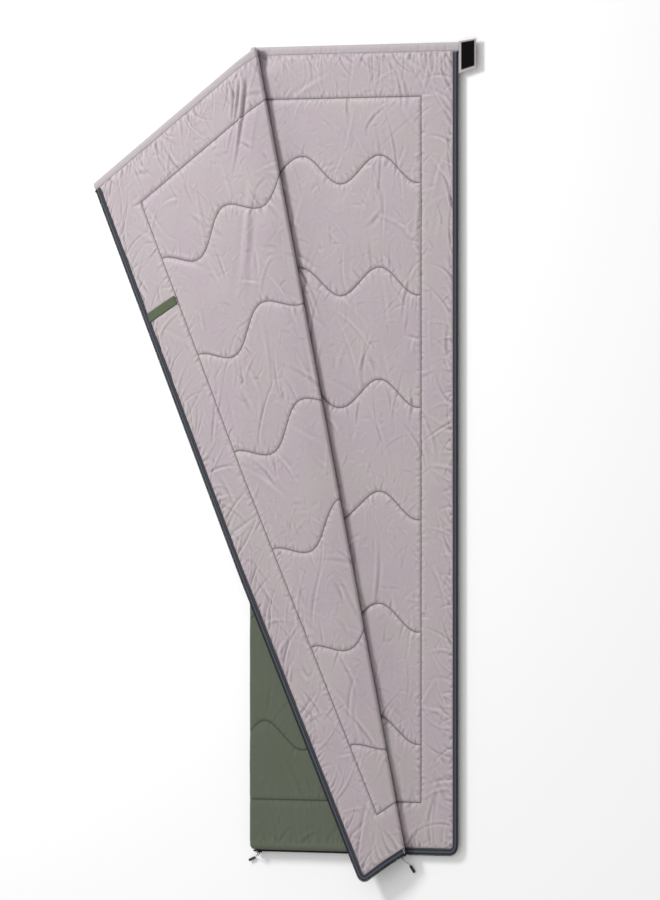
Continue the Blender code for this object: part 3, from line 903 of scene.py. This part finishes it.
def make_side_fold_cloths():
    """The outer cloth rolls round the folded side, and the lining folds sharply inside it."""
    width = SIDE_COLUMN + 1
    under = face_points(*(field[:, :width] for field in base_shell), 0.0, -1)
    under = under.reshape(-1, width, 3)
    over = face_points(*(field[:, :width] for field in upper_shell), UPPER_SHELL_Z, 1)
    over = over.reshape(-1, width, 3)
    flat = np.concatenate((under[:, ::-1], over[:, 1:]), 1)
    rolled_under = round_side(under.reshape(-1, 3), -1).reshape(under.shape)
    rolled_over = round_side(over.reshape(-1, 3), 1).reshape(over.shape)
    points = np.concatenate((rolled_under[:, ::-1], rolled_over[:, 1:]), 1)
    mesh = new_mesh("side_fold_shell_cloth", points.reshape(-1, 3), grid_faces(*points.shape[:2]))
    across = flat.copy()
    across[:, :width, 0] = 2 * ROLL_LEFT - across[:, :width, 0]
    add_cloth_map(mesh, across.reshape(-1, 3))
    halves = np.ones(flat.shape[:2])
    halves[:, width:] = -1
    cloth = (shell_xs, shell_ys, base_shell[2], seam_u)
    add_seam_marks(mesh, flat.reshape(-1, 3), halves.ravel(), cloth)
    piece = finished("side_fold_shell_cloth", mesh, SHELL)
    over_side(piece)
    padded_piece(piece, "olive_shell", "side_fold_shell", "side_fold_fill")
    low = face_points(*(field[:, :1] for field in base_lining), LINING_Z, 1)
    high = face_points(*(field[:, :1] for field in upper_lining), UPPER_LINING_Z, -1)
    middle = (low + high) / 2
    middle[:, 0] -= 0.0009
    points = np.stack((low, middle, high), 1)
    faces = grid_faces(*points.shape[:2], flip=True)
    mesh = new_mesh("side_fold_lining_cloth", points.reshape(-1, 3), faces)
    add_cloth_map(mesh, points.reshape(-1, 3))
    add_seam_marks(mesh, points.reshape(-1, 3), 1, (lining_xs, lining_ys, base_lining[2], flat_u))
    piece = finished("side_fold_lining_cloth", mesh, LINING)
    over_side(piece)
    padded_piece(piece, "greige_lining", "side_fold_lining")


def make_upper_cloths():
    x, y, height = upper_lining
    points = face_points(x, y, height, UPPER_LINING_Z, -1)
    mesh = new_mesh("upper_lining", points, grid_faces(*x.shape, flip=True))
    cloth = (lining_xs, lining_ys, height, flat_u)
    names = ("panel_lining_cloth", "flap_lining_cloth")
    panel, flap = upper_pair(names, mesh, LINING, cloth)
    nodes = ("panel_lining", "panel_fill", "flap_fold_lining", "flap_fold_fill")
    padded_piece(panel, "greige_lining", *nodes)
    padded_piece(flap, "greige_lining", "flap_lining", "flap_fill", "wing_lining", "wing_fill")
    x, y, height = (field[:, SIDE_COLUMN:] for field in upper_shell)
    points = face_points(x, y, height, UPPER_SHELL_Z, 1)
    mesh = new_mesh("upper_shell", points, grid_faces(*x.shape))
    cloth = (shell_xs, shell_ys, upper_shell[2], seam_u)
    names = ("panel_shell_cloth", "flap_shell_cloth")
    panel, flap = upper_pair(names, mesh, SHELL, cloth)
    padded_piece(panel, "olive_shell", "panel_shell", "flap_fold_shell")
    padded_piece(flap, "olive_shell", "flap_shell", "wing_shell")


# ---- hems at the head end ----

HEM_STEP = 0.0035
HEM_FOOT_SHARE = 0.62
HEM_STITCH_Y = HEM_Y + 0.0030
HEM_STITCH_SIZES = {"Pitch": 0.0036, "Half length": 0.0015, "Thread radius": 0.00045}


def hem_section(low, high):
    """A closed section in y and z of a turned hem, as thick as one layer and pinched at its seam."""
    mid = (low + high) / 2
    half = (high - low) / 2
    shape = [(HEM_Y, 0.50)]
    for y, part in ((0.0015, 0.58), (0.0040, 0.64), (0.0090, 0.68), (0.0140, 0.68), (0.0185, 0.64)):
        shape.append((HEM_Y + y, part))
    edge = TOP - 0.0052
    for degrees in (60, 40, 20, 0):
        turn = math.radians(degrees)
        shape.append((edge + 0.0050 * math.cos(turn), 0.58 * math.sin(turn)))
    lower = [(y, -part) for y, part in shape[-2::-1]]
    return [(y, mid + half * part) for y, part in shape + lower]


def hem_points(xs, low, high, seed):
    """A hem along xs, gathered by its stitching."""
    rng = np.random.default_rng(seed)
    section = hem_section(low, high)
    mid = (low + high) / 2
    waves = np.zeros(len(xs))
    for _ in range(int((xs[-1] - xs[0]) / 0.007)):
        at = rng.uniform(xs[0], xs[-1])
        waves += rng.normal(0, 0.10) * np.exp(-(((xs - at) / rng.uniform(0.003, 0.008)) ** 2))
    points = np.zeros((len(xs), len(section), 3))
    for k, (y, z) in enumerate(section):
        share = math.sin(math.pi * min(max((y - HEM_Y) / (TOP - HEM_Y), 0), 1))
        points[:, k, 0] = xs
        points[:, k, 1] = y
        points[:, k, 2] = mid + (z - mid) * (1 + share * np.clip(waves, -0.3, 0.15))
    return points


def make_hems():
    xs = columns(SIDE_ROLL_X, RIGHT, HEM_STEP)
    base = hem_points(xs, 0.0, LINING_Z, 5)
    faces = grid_faces(*base.shape[:2], flip=True, closed=True)
    mesh = new_mesh("base_hem_band", base.reshape(-1, 3), faces)
    add_cloth_map(mesh, base.reshape(-1, 3))
    close_ends(mesh)
    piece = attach(finished("base_hem_band", mesh, HEM_CLOTH), "base")
    padded_piece(piece, "greige_lining", "base_hem")
    upper = hem_points(xs, UPPER_LINING_Z, UPPER_SHELL_Z, 7)
    mesh = new_mesh("upper_hem", upper.reshape(-1, 3), faces)
    close_ends(mesh)
    roll, flap = upper_pair(("fold_hem_band", "flap_hem_band"), mesh, HEM_CLOTH)
    padded_piece(roll, "greige_lining", "flap_fold_hem")
    padded_piece(flap, "greige_lining", "flap_hem", "wing_hem")
    ring = []
    for k in range(13):
        turn = math.pi * (k / 12 - 0.5)
        ring.append((math.cos(turn), math.sin(turn)))
    section = base[0].copy()
    points = np.zeros((len(ring), len(section), 3))
    for i, (c, s) in enumerate(ring):
        radius = MEETING_Z - section[:, 2]
        points[i, :, 0] = SIDE_ROLL_X - radius * c
        points[i, :, 1] = section[:, 1]
        points[i, :, 2] = MEETING_Z + radius * s
    mesh = new_mesh("side_hem_band", points.reshape(-1, 3), grid_faces(*points.shape[:2], closed=True))
    add_cloth_map(mesh, points.reshape(-1, 3))
    piece = finished("side_hem_band", mesh, HEM_CLOTH)
    over_side(piece)
    padded_piece(piece, "greige_lining", "side_fold_hem")


def close_ends(mesh):
    """Fills the open ends of a tube."""
    work = bmesh.new()
    work.from_mesh(mesh)
    bmesh.ops.holes_fill(work, edges=work.edges[:], sides=0)
    work.to_mesh(mesh)
    work.free()


# ---- zip ----

TAPE_STEP = 0.0060
TAPE_T = 0.0010


def edge_path(step, inset, top, left):
    """Places along the zipped side and the foot, each with the direction inwards."""
    radius = CORNER_RADIUS
    centre = (RIGHT - radius, FOOT + radius)
    path = []
    for y in columns(top, centre[1], step):
        path.append((RIGHT - inset, y, -1.0, 0.0))
    steps = max(int(radius * math.pi / 2 / step), 8)
    for k in range(1, steps):
        turn = -math.pi / 2 * k / steps
        c, s = math.cos(turn), math.sin(turn)
        path.append((centre[0] + (radius - inset) * c, centre[1] + (radius - inset) * s, -c, -s))
    for x in columns(centre[0], left, step):
        path.append((x, FOOT + inset, 0.0, 1.0))
    return np.array(path)


def tape_mesh(name, z_low, z_high, left):
    """A flat woven tape with softly rounded edges, and its map: u along it, v across it."""
    path = edge_path(TAPE_STEP, 0.0, HEM_Y - 0.0003, left)
    insets = np.array([COIL_W - 0.0006, COIL_W, 0.0090, 0.0130, 0.0170, TAPE_W - 0.0005, TAPE_W])
    thick = z_high - z_low
    top = z_low + thick * np.array([0.75, 1.0, 1.0, 1.0, 1.0, 1.0, 0.7])
    low = z_low + thick * np.array([0.25, 0.0, 0.0, 0.0, 0.0, 0.0, 0.3])
    ring_inset = np.concatenate((insets, insets[::-1]))
    ring_z = np.concatenate((top, low[::-1]))
    points = np.zeros((len(path), len(ring_inset), 3))
    points[..., 0] = path[:, 0:1] + path[:, 2:3] * ring_inset
    points[..., 1] = path[:, 1:2] + path[:, 3:4] * ring_inset
    points[..., 2] = ring_z
    gaps = np.hypot(np.diff(path[:, 0]), np.diff(path[:, 1]))
    run = np.concatenate(((0.0,), np.cumsum(gaps)))
    mesh = new_mesh(name, points.reshape(-1, 3), grid_faces(*points.shape[:2], closed=True))
    close_ends(mesh)
    along = np.repeat(run[:, None], len(ring_inset), 1)
    across = np.repeat(ring_inset[None], len(run), 0)
    flat = np.stack((along, across, along * 0), 2).reshape(-1, 3)
    add_cloth_map(mesh, flat)
    return mesh


def make_tapes():
    mesh = tape_mesh("base_tape", BASE_TAPE_Z, BASE_TAPE_Z + TAPE_T, SIDE_ROLL_X)
    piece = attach(finished("base_tape_weave", mesh, TAPE), "base")
    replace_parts(piece, "base_zip_tape")
    mesh = tape_mesh("upper_tape", UPPER_TAPE_Z - TAPE_T, UPPER_TAPE_Z, SIDE_ROLL_X)
    names = ("panel_tape_weave", "flap_tape_weave")
    panel, flap = upper_pair(names, mesh, TAPE, mapped=True)
    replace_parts(panel, "panel_zip_tape")
    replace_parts(flap, "flap_zip_tape", "wing_zip_tape")


# ---- what repeats along a line: coil turns and stitches ----

COIL_LEAN = 0.22


def line_group(name, sizes, build):
    """A geometry group with named sizes that puts one small shape at even steps along a line."""
    group = bpy.data.node_groups.new(name, "GeometryNodeTree")
    sockets = group.interface
    sockets.new_socket("Geometry", in_out="INPUT", socket_type="NodeSocketGeometry")
    sockets.new_socket("Geometry", in_out="OUTPUT", socket_type="NodeSocketGeometry")
    for size in sizes:
        sockets.new_socket(size, in_out="INPUT", socket_type="NodeSocketFloat")
    sockets.new_socket("Material", in_out="INPUT", socket_type="NodeSocketMaterial")
    given = group.nodes.new("NodeGroupInput").outputs
    end = group.nodes.new("NodeGroupOutput")
    align = "FunctionNodeAlignRotationToVector"
    curve = made(group, "GeometryNodeMeshToCurve", "Curve", {"Mesh": given["Geometry"]})
    steps = {"Curve": curve, "Length": given["Pitch"]}
    even = made(group, "GeometryNodeResampleCurve", "Curve", steps, mode="LENGTH")
    tangent = made(group, "GeometryNodeInputTangent", "Tangent", {})
    along = made(group, align, "Rotation", {"Vector": tangent}, axis="Z")
    named = {"Name": "across"}
    side = made(group, "GeometryNodeInputNamedAttribute", "Attribute", named, data_type="FLOAT_VECTOR")
    aim = {"Rotation": along, "Vector": side}
    level = made(group, align, "Rotation", aim, axis="X", pivot_axis="Z")
    spots = {"Points": even, "Rotation": level, "Instance": build(group, given)}
    put = made(group, "GeometryNodeInstanceOnPoints", "Instances", spots)
    real = made(group, "GeometryNodeRealizeInstances", "Geometry", {"Geometry": put})
    even_shade = made(group, "GeometryNodeSetShadeSmooth", "Geometry", {"Geometry": real})
    paint = {"Geometry": even_shade, "Material": given["Material"]}
    feed(group, end, {"Geometry": made(group, "GeometryNodeSetMaterial", "Geometry", paint)})
    return group


def scaled(group, shape, sizes, turn=0.0):
    """A shape turned about y and stretched by these three sizes."""
    size = made(group, "ShaderNodeCombineXYZ", "Vector", dict(zip("XYZ", sizes)))
    changes = {"Geometry": shape, "Rotation": (0.0, turn, 0.0), "Scale": size}
    return made(group, "GeometryNodeTransform", "Geometry", changes)


def coil_turn(group, given):
    """One flattened turn of nylon wire, leaning a little along the coil."""
    circle = "GeometryNodeCurvePrimitiveCircle"
    ring = made(group, circle, "Curve", {"Resolution": 10, "Radius": 1.0})
    shape = scaled(group, ring, (given["Half width"], given["Half height"], 1.0), COIL_LEAN)
    wire = made(group, circle, "Curve", {"Resolution": 4, "Radius": given["Wire radius"]})
    return made(group, "GeometryNodeCurveToMesh", "Mesh", {"Curve": shape, "Profile Curve": wire})


def one_stitch(group, given):
    """A short run of thread, plump in the middle and pulled in at both ends."""
    sizes = {"Segments": 6, "Rings": 5, "Radius": 1.0}
    ball = made(group, "GeometryNodeMeshUVSphere", "Mesh", sizes)
    thread = given["Thread radius"]
    return scaled(group, ball, (thread, thread, given["Half length"]))


COIL_GROUP = line_group("coil_turns", ("Pitch", "Half width", "Half height", "Wire radius"), coil_turn)
STITCH_GROUP = line_group("stitches", ("Pitch", "Half length", "Thread radius"), one_stitch)
COIL_SIZES = {"Pitch": 0.0019, "Half width": 0.0019, "Half height": 0.0009, "Wire radius": 0.00045}
STITCH_SIZES = {"Pitch": 0.0042, "Half length": 0.0018, "Thread radius": 0.00042}
THREAD_LIFT = 0.0002
STITCH_STEP = 0.003


def repeated(name, lines, group, sizes, material):
    """Runs a group along lines, each a pair of arrays: its points and the direction across it."""
    points = np.concatenate([line[0] for line in lines])
    across = np.concatenate([line[1] for line in lines])
    edges = []
    first = 0
    for line in lines:
        edges += [(first + k, first + k + 1) for k in range(len(line[0]) - 1)]
        first += len(line[0])
    mesh = bpy.data.meshes.new(name + "_path")
    mesh.from_pydata(points.tolist(), edges, [])
    side = mesh.attributes.new("across", "FLOAT_VECTOR", "POINT")
    side.data.foreach_set("vector", across.astype(np.float32).ravel())
    path = bpy.data.objects.new(name + "_path", mesh)
    bpy.context.scene.collection.objects.link(path)
    modifier = path.modifiers.new("repeat", "NODES")
    modifier.node_group = group
    for item in group.interface.items_tree:
        if item.in_out == "INPUT" and item.name in sizes:
            modifier[item.identifier] = sizes[item.name]
        if item.in_out == "INPUT" and item.name == "Material":
            modifier[item.identifier] = material
    bpy.context.view_layer.update()
    evaluated = path.evaluated_get(bpy.context.evaluated_depsgraph_get())
    made = bpy.data.meshes.new_from_object(evaluated)
    made.name = name
    bpy.data.objects.remove(path)
    piece = bpy.data.objects.new(name, made)
    bpy.context.scene.collection.objects.link(piece)
    return piece


def split_at_fold(points, across):
    """Lines of the upper half, broken where the flap's own cloth starts, both put in place."""
    out = (points - FOLD_POINT) @ FOLD_NORMAL
    beyond = out >= FOLD_CUT
    breaks = np.nonzero(np.diff(beyond.astype(int)))[0] + 1
    panel = []
    flap = []
    for run in np.split(np.arange(len(points)), breaks):
        if len(run) < 2:
            continue
        put = placed(points[run])
        ahead = placed(points[run] + 0.0005 * across[run]) - put
        ahead /= np.linalg.norm(ahead, axis=1)[:, None]
        (flap if beyond[run[0]] else panel).append((put, ahead))
    return panel, flap


COIL_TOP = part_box("base_top_stop")[0].y - 0.0006


def make_coils():
    path = edge_path(0.004, COIL_W / 2, COIL_TOP, SIDE_ROLL_X)
    points = np.stack((path[:, 0], path[:, 1], np.full(len(path), BASE_COIL_Z)), 1)
    across = np.stack((path[:, 2], path[:, 3], np.zeros(len(path))), 1)
    piece = repeated("base_coil_turns", [(points, across)], COIL_GROUP, COIL_SIZES, COIL)
    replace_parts(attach(piece, "base"), "base_zip_coil")
    points[:, 2] = UPPER_COIL_Z
    panel, flap = split_at_fold(points, across)
    piece = repeated("panel_coil_turns", panel, COIL_GROUP, COIL_SIZES, COIL)
    over_fold(piece)
    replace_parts(piece, "panel_zip_coil")
    piece = repeated("flap_coil_turns", flap, COIL_GROUP, COIL_SIZES, COIL)
    over_bend(piece)
    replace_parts(piece, "flap_zip_coil", "wing_zip_coil")


def seam_lines(half, step):
    """Every quilting seam of one half as x and y arrays, within the half."""
    lines = []
    for row in range(ROWS):
        u = np.arange(0.004, SEAM_U, step) if half > 0 else np.arange(-SEAM_U, -0.004, step)
        lines.append((LEFT + half * u, row_y(u, row)))
    x = np.arange(LEFT + 0.004, LEFT + SEAM_U, step)
    for end in (-SEAM_Y, SEAM_Y):
        lines.append((x, np.full(len(x), end)))
    y = np.arange(-SEAM_Y, SEAM_Y, step)
    lines.append((np.full(len(y), LEFT + SEAM_U), y))
    return lines


def raised(lines, xs, ys, height, level, sign):
    """Lines lifted onto a cloth, with a direction across each."""
    found = []
    for x, y in lines:
        z = level + sign * (read_grid(xs, ys, height, x, y) + THREAD_LIFT)
        points = np.stack((x, y, z), 1)
        ahead = np.gradient(points, axis=0)
        across = np.stack((-ahead[:, 1], ahead[:, 0], np.zeros(len(x))), 1)
        across /= np.maximum(np.linalg.norm(across, axis=1), 1e-9)[:, None]
        found.append((points, across))
    return found


def hem_line(xs, level, sign):
    """Places for the stitching along the foot of a hem, on the face that looks out."""
    z = level + sign * THREAD_LIFT
    points = np.stack((xs, np.full(len(xs), HEM_STITCH_Y), np.full(len(xs), z)), 1)
    return points, np.tile((0.0, 1.0, 0.0), (len(xs), 1))


def sewn(name, lines, sizes, thread=SHADE_DARKENED_THREAD):
    piece = repeated(name, lines, STITCH_GROUP, sizes, thread)
    return piece


def make_hem_stitches():
    xs = columns(SIDE_ROLL_X + 0.002, RIGHT - 0.002, 0.003)
    half = LINING_Z / 2
    base = [hem_line(xs, half + HEM_FOOT_SHARE * half, 1)]
    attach(sewn("base_hem_stitches", base, HEM_STITCH_SIZES), "base")
    middle = (UPPER_LINING_Z + UPPER_SHELL_Z) / 2
    half = (UPPER_SHELL_Z - UPPER_LINING_Z) / 2
    panel, flap = split_at_fold(*hem_line(xs, middle - HEM_FOOT_SHARE * half, -1))
    over_fold(sewn("panel_hem_stitches", panel, HEM_STITCH_SIZES))
    over_bend(sewn("flap_hem_stitches", flap, HEM_STITCH_SIZES))


def make_stitches():
    step = STITCH_STEP
    lines = raised(seam_lines(1, step), lining_xs, lining_ys, base_lining[2], LINING_Z, 1)
    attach(sewn("base_seam_stitches", lines, STITCH_SIZES), "base")
    panel = []
    flap = []
    lines = raised(seam_lines(-1, step), lining_xs, lining_ys, upper_lining[2], UPPER_LINING_Z, -1)
    for points, across in lines:
        on_panel, on_flap = split_at_fold(points, across)
        panel += on_panel
        flap += on_flap
    over_fold(sewn("panel_lining_stitches", panel, STITCH_SIZES))
    over_bend(sewn("flap_seam_stitches", flap, STITCH_SIZES))
    panel = []
    lines = raised(seam_lines(-1, step), shell_xs, shell_ys, upper_shell[2], UPPER_SHELL_Z, 1)
    for points, across in lines:
        right_of_roll = points[:, 0] > SIDE_ROLL_X
        on_panel, _ = split_at_fold(points[right_of_roll], across[right_of_roll])
        panel += on_panel
    piece = sewn("panel_seam_stitches", panel, STITCH_SIZES, GREEN_THREAD)
    over_fold(piece)


# ---- closing tab and webbing strap ----


def corner_patch(corners, across, along):
    """Points over a four-cornered patch, with each point's share of the way across and along."""
    s, t = np.meshgrid(np.linspace(0, 1, across), np.linspace(0, 1, along))
    a, b, c, d = (np.array(corner) for corner in corners)
    low = a[:, None, None] * (1 - s) + b[:, None, None] * s
    high = d[:, None, None] * (1 - s) + c[:, None, None] * s
    points = low * (1 - t) + high * t
    return points[0], points[1], s, t


def flat_patch(name, x, y, low, high):
    """A closed thin patch between two fields of heights over one grid."""
    over = np.stack((x, y, high), 2)
    under = np.stack((x, y, low), 2)
    rows, width = x.shape
    points = np.concatenate((over.reshape(-1, 3), under.reshape(-1, 3)))
    faces = [tuple(face) for face in grid_faces(rows, width)]
    faces += [tuple(face + rows * width) for face in grid_faces(rows, width, flip=True)]
    rim = list(range(width))
    rim += [i * width + width - 1 for i in range(1, rows)]
    rim += [(rows - 1) * width + j for j in range(width - 2, -1, -1)]
    rim += [i * width for i in range(rows - 2, 0, -1)]
    count = rows * width
    for k, first in enumerate(rim):
        after = rim[(k + 1) % len(rim)]
        faces.append((after, first, first + count, after + count))
    mesh = bpy.data.meshes.new(name)
    mesh.from_pydata(points.tolist(), [], [tuple(int(i) for i in face) for face in faces])
    return mesh


TAB_BORDER = 0.0050
TAB_ACROSS = 34
TAB_ALONG = 46
TAB_STITCH_SIZES = {"Pitch": 0.0030, "Half length": 0.0011, "Thread radius": 0.00030}


def make_tab():
    """Two layers of lining cloth turned in and stitched round, puffed between the stitching."""
    low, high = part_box("closing_tab")
    node = frame["nodes"]["closing_tab"]
    left = sorted(v.co.y for v in node.data.vertices if v.co.x < low.x + 0.001)
    right = sorted(v.co.y for v in node.data.vertices if v.co.x > high.x - 0.001)
    corners = ((low.x, left[0]), (high.x, right[0]), (high.x, right[-1]), (low.x, left[-1]))
    x, y, s, t = corner_patch(corners, TAB_ACROSS, TAB_ALONG)
    width = high.x - low.x
    length = left[-1] - left[0]
    border = np.minimum(np.minimum(s, 1 - s) * width, np.minimum(t, 1 - t) * length)
    puff = 0.55 + 0.45 * smooth(border, 0, 0.0022)
    puff -= 0.40 * np.exp(-(((border - TAB_BORDER) / 0.0010) ** 2))
    rng = np.random.default_rng(71)
    lumps = swells(s[0] * width, t[:, 0] * length, rng, 0.6, 0.012)
    puff += 0.10 * lumps * smooth(border, 0.002, 0.006)
    half = (high.z - low.z) / 2
    rise = half * np.clip(puff, 0.1, 1.0)
    middle = (low.z + high.z) / 2
    mesh = flat_patch("tab_cloth", x, y, middle - rise, middle + rise)
    flat = points_of(mesh)
    add_cloth_map(mesh, flat)
    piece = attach(finished("tab_cloth", mesh, HEM_CLOTH), "tab")
    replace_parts(piece, "closing_tab")
    border_lines = []
    round_it = (
        (low.x + TAB_BORDER, left[0] + TAB_BORDER),
        (high.x - TAB_BORDER, right[0] + TAB_BORDER),
        (high.x - TAB_BORDER, right[-1] - TAB_BORDER),
        (low.x + TAB_BORDER, left[-1] - TAB_BORDER),
    )
    for first, second in zip(round_it, round_it[1:] + round_it[:1]):
        steps = np.linspace(0, 1, 24)
        points = np.stack(
            (
                first[0] + steps * (second[0] - first[0]),
                first[1] + steps * (second[1] - first[1]),
                np.full(24, middle + 0.5 * half),
            ),
            1,
        )
        ahead = np.array((second[0] - first[0], second[1] - first[1], 0.0))
        across = np.tile((-ahead[1], ahead[0], 0.0) / np.linalg.norm(ahead), (24, 1))
        border_lines.append((points, across))
    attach(sewn("tab_stitches", border_lines, TAB_STITCH_SIZES), "tab")


def make_strap():
    """Green webbing sewn down on the lining beside the zip, following the cloth a little."""
    along = np.linspace(-STRAP_FLAT[0], 0, 61)
    across = np.linspace(-STRAP_FLAT[1] / 2, STRAP_FLAT[1] / 2, 14)
    u, v = np.meshgrid(along, across)
    x = RIGHT - TAPE_W - STRAP_LIFT + u * math.cos(STRAP_SLANT) - v * math.sin(STRAP_SLANT)
    y = TOP - STRAP_BELOW_TOP + u * math.sin(STRAP_SLANT) + v * math.cos(STRAP_SLANT)
    edge = np.minimum(STRAP_FLAT[1] / 2 - np.abs(v), np.minimum(-u, u + STRAP_FLAT[0]))
    rise = STRAP_T * (0.55 + 0.45 * smooth(edge, 0, 0.0012))
    ends = np.minimum(np.abs(u + 0.004), np.abs(u + STRAP_FLAT[0] - 0.004))
    rise -= 0.35 * STRAP_T * np.exp(-((ends / 0.0010) ** 2))
    upper = UPPER_LINING_Z + STRAP_SUNK
    mesh = flat_patch("strap_webbing", x, y, upper - rise, np.full_like(x, upper))
    flat = np.concatenate([np.stack((u, v, 0 * u), 2).reshape(-1, 3)] * 2)
    add_cloth_map(mesh, flat)
    set_points(mesh, placed(points_of(mesh)))
    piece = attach(finished("strap_webbing", mesh, WEBBING), "wing")
    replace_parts(piece, "webbing_strap")


def keep_node(name, material):
    """A CAD node whose shape is right, given its finish."""
    node = frame["nodes"][name]
    node.data.materials.clear()
    node.data.materials.append(material)


def make_small_parts():
    for name in ("base_top_stop", "wing_top_stop", "zip_end_box"):
        keep_node(name, BLACK_METAL)
    for end in ("main", "foot"):
        for part in ("slider_body", "slider_bail", "pull_link"):
            keep_node(f"{end}_{part}", BLACK_METAL)
        keep_node(f"{end}_pull_cord", CORD_GREY)
        keep_node(f"{end}_pull_grip", GRIP_BLACK)
    keep_node("hook_patch", HOOK_BLACK)
    keep_node("loop_patch", HOOK_BLACK)


# ---- floor, light and camera ----

TILT = math.acos(1 / 1.4)
LENS = 600.0
SENSOR = 36.0
FRAME_HEIGHT = 2.452
AIM = Vector((-0.107, -0.002, 0.0))
FLOOR_COLOUR = (0.94, 0.94, 0.94, 1)
SKY_STRENGTH = 0.62


def make_stage():
    mesh = bpy.data.meshes.new("floor")
    work = bmesh.new()
    bmesh.ops.create_grid(work, x_segments=1, y_segments=1, size=30.0)
    work.to_mesh(mesh)
    work.free()
    floor = bpy.data.objects.new("floor", mesh)
    floor.location.z = -0.0005
    bpy.context.scene.collection.objects.link(floor)
    material, tree = new_finish("pale_floor")
    set_looks(tree, {"Base Color": FLOOR_COLOUR, "Roughness": 0.9, "Specular IOR Level": 0.0})
    mesh.materials.append(material)
    world = bpy.data.worlds.new("studio")
    world.use_nodes = True
    sky = {"Color": (1.0, 1.0, 1.0, 1), "Strength": SKY_STRENGTH}
    feed(world.node_tree, world.node_tree.nodes["Background"], sky)
    bpy.context.scene.world = world
    for name, place, size, power in (
        ("key", (-3.4, 3.0, 3.2), 1.6, 230.0),
        ("fill", (3.0, -2.0, 4.0), 3.0, 25.0),
    ):
        light = bpy.data.lights.new(name, "AREA")
        light.shape = "DISK"
        light.size = size
        light.energy = power
        lamp = bpy.data.objects.new(name, light)
        lamp.location = place
        lamp.rotation_mode = "QUATERNION"
        lamp.rotation_quaternion = (Vector(place) - AIM).to_track_quat("Z", "Y")
        bpy.context.scene.collection.objects.link(lamp)


def make_camera():
    """Looks down from the zipped side with a long lens, so the quilt's width is foreshortened."""
    back = Vector((math.sin(TILT), 0, math.cos(TILT)))
    right = Vector((0, 1, 0)).cross(back)
    camera = bpy.data.objects.new("camera", bpy.data.cameras.new("camera"))
    camera.data.lens = LENS
    camera.data.sensor_width = SENSOR
    camera.data.clip_end = 100
    turn = Matrix((right, (0, 1, 0), back)).transposed()
    camera.matrix_world = Matrix.Translation(AIM + FRAME_HEIGHT * LENS / SENSOR * back) @ turn.to_4x4()
    bpy.context.scene.collection.objects.link(camera)
    bpy.context.scene.camera = camera
    bpy.context.scene.view_settings.view_transform = "Standard"


make_stage()
make_camera()
make_base_cloths()
make_side_fold_cloths()
make_upper_cloths()
make_hems()
make_tapes()
make_coils()
make_stitches()
make_hem_stitches()
make_tab()
make_strap()
make_small_parts()
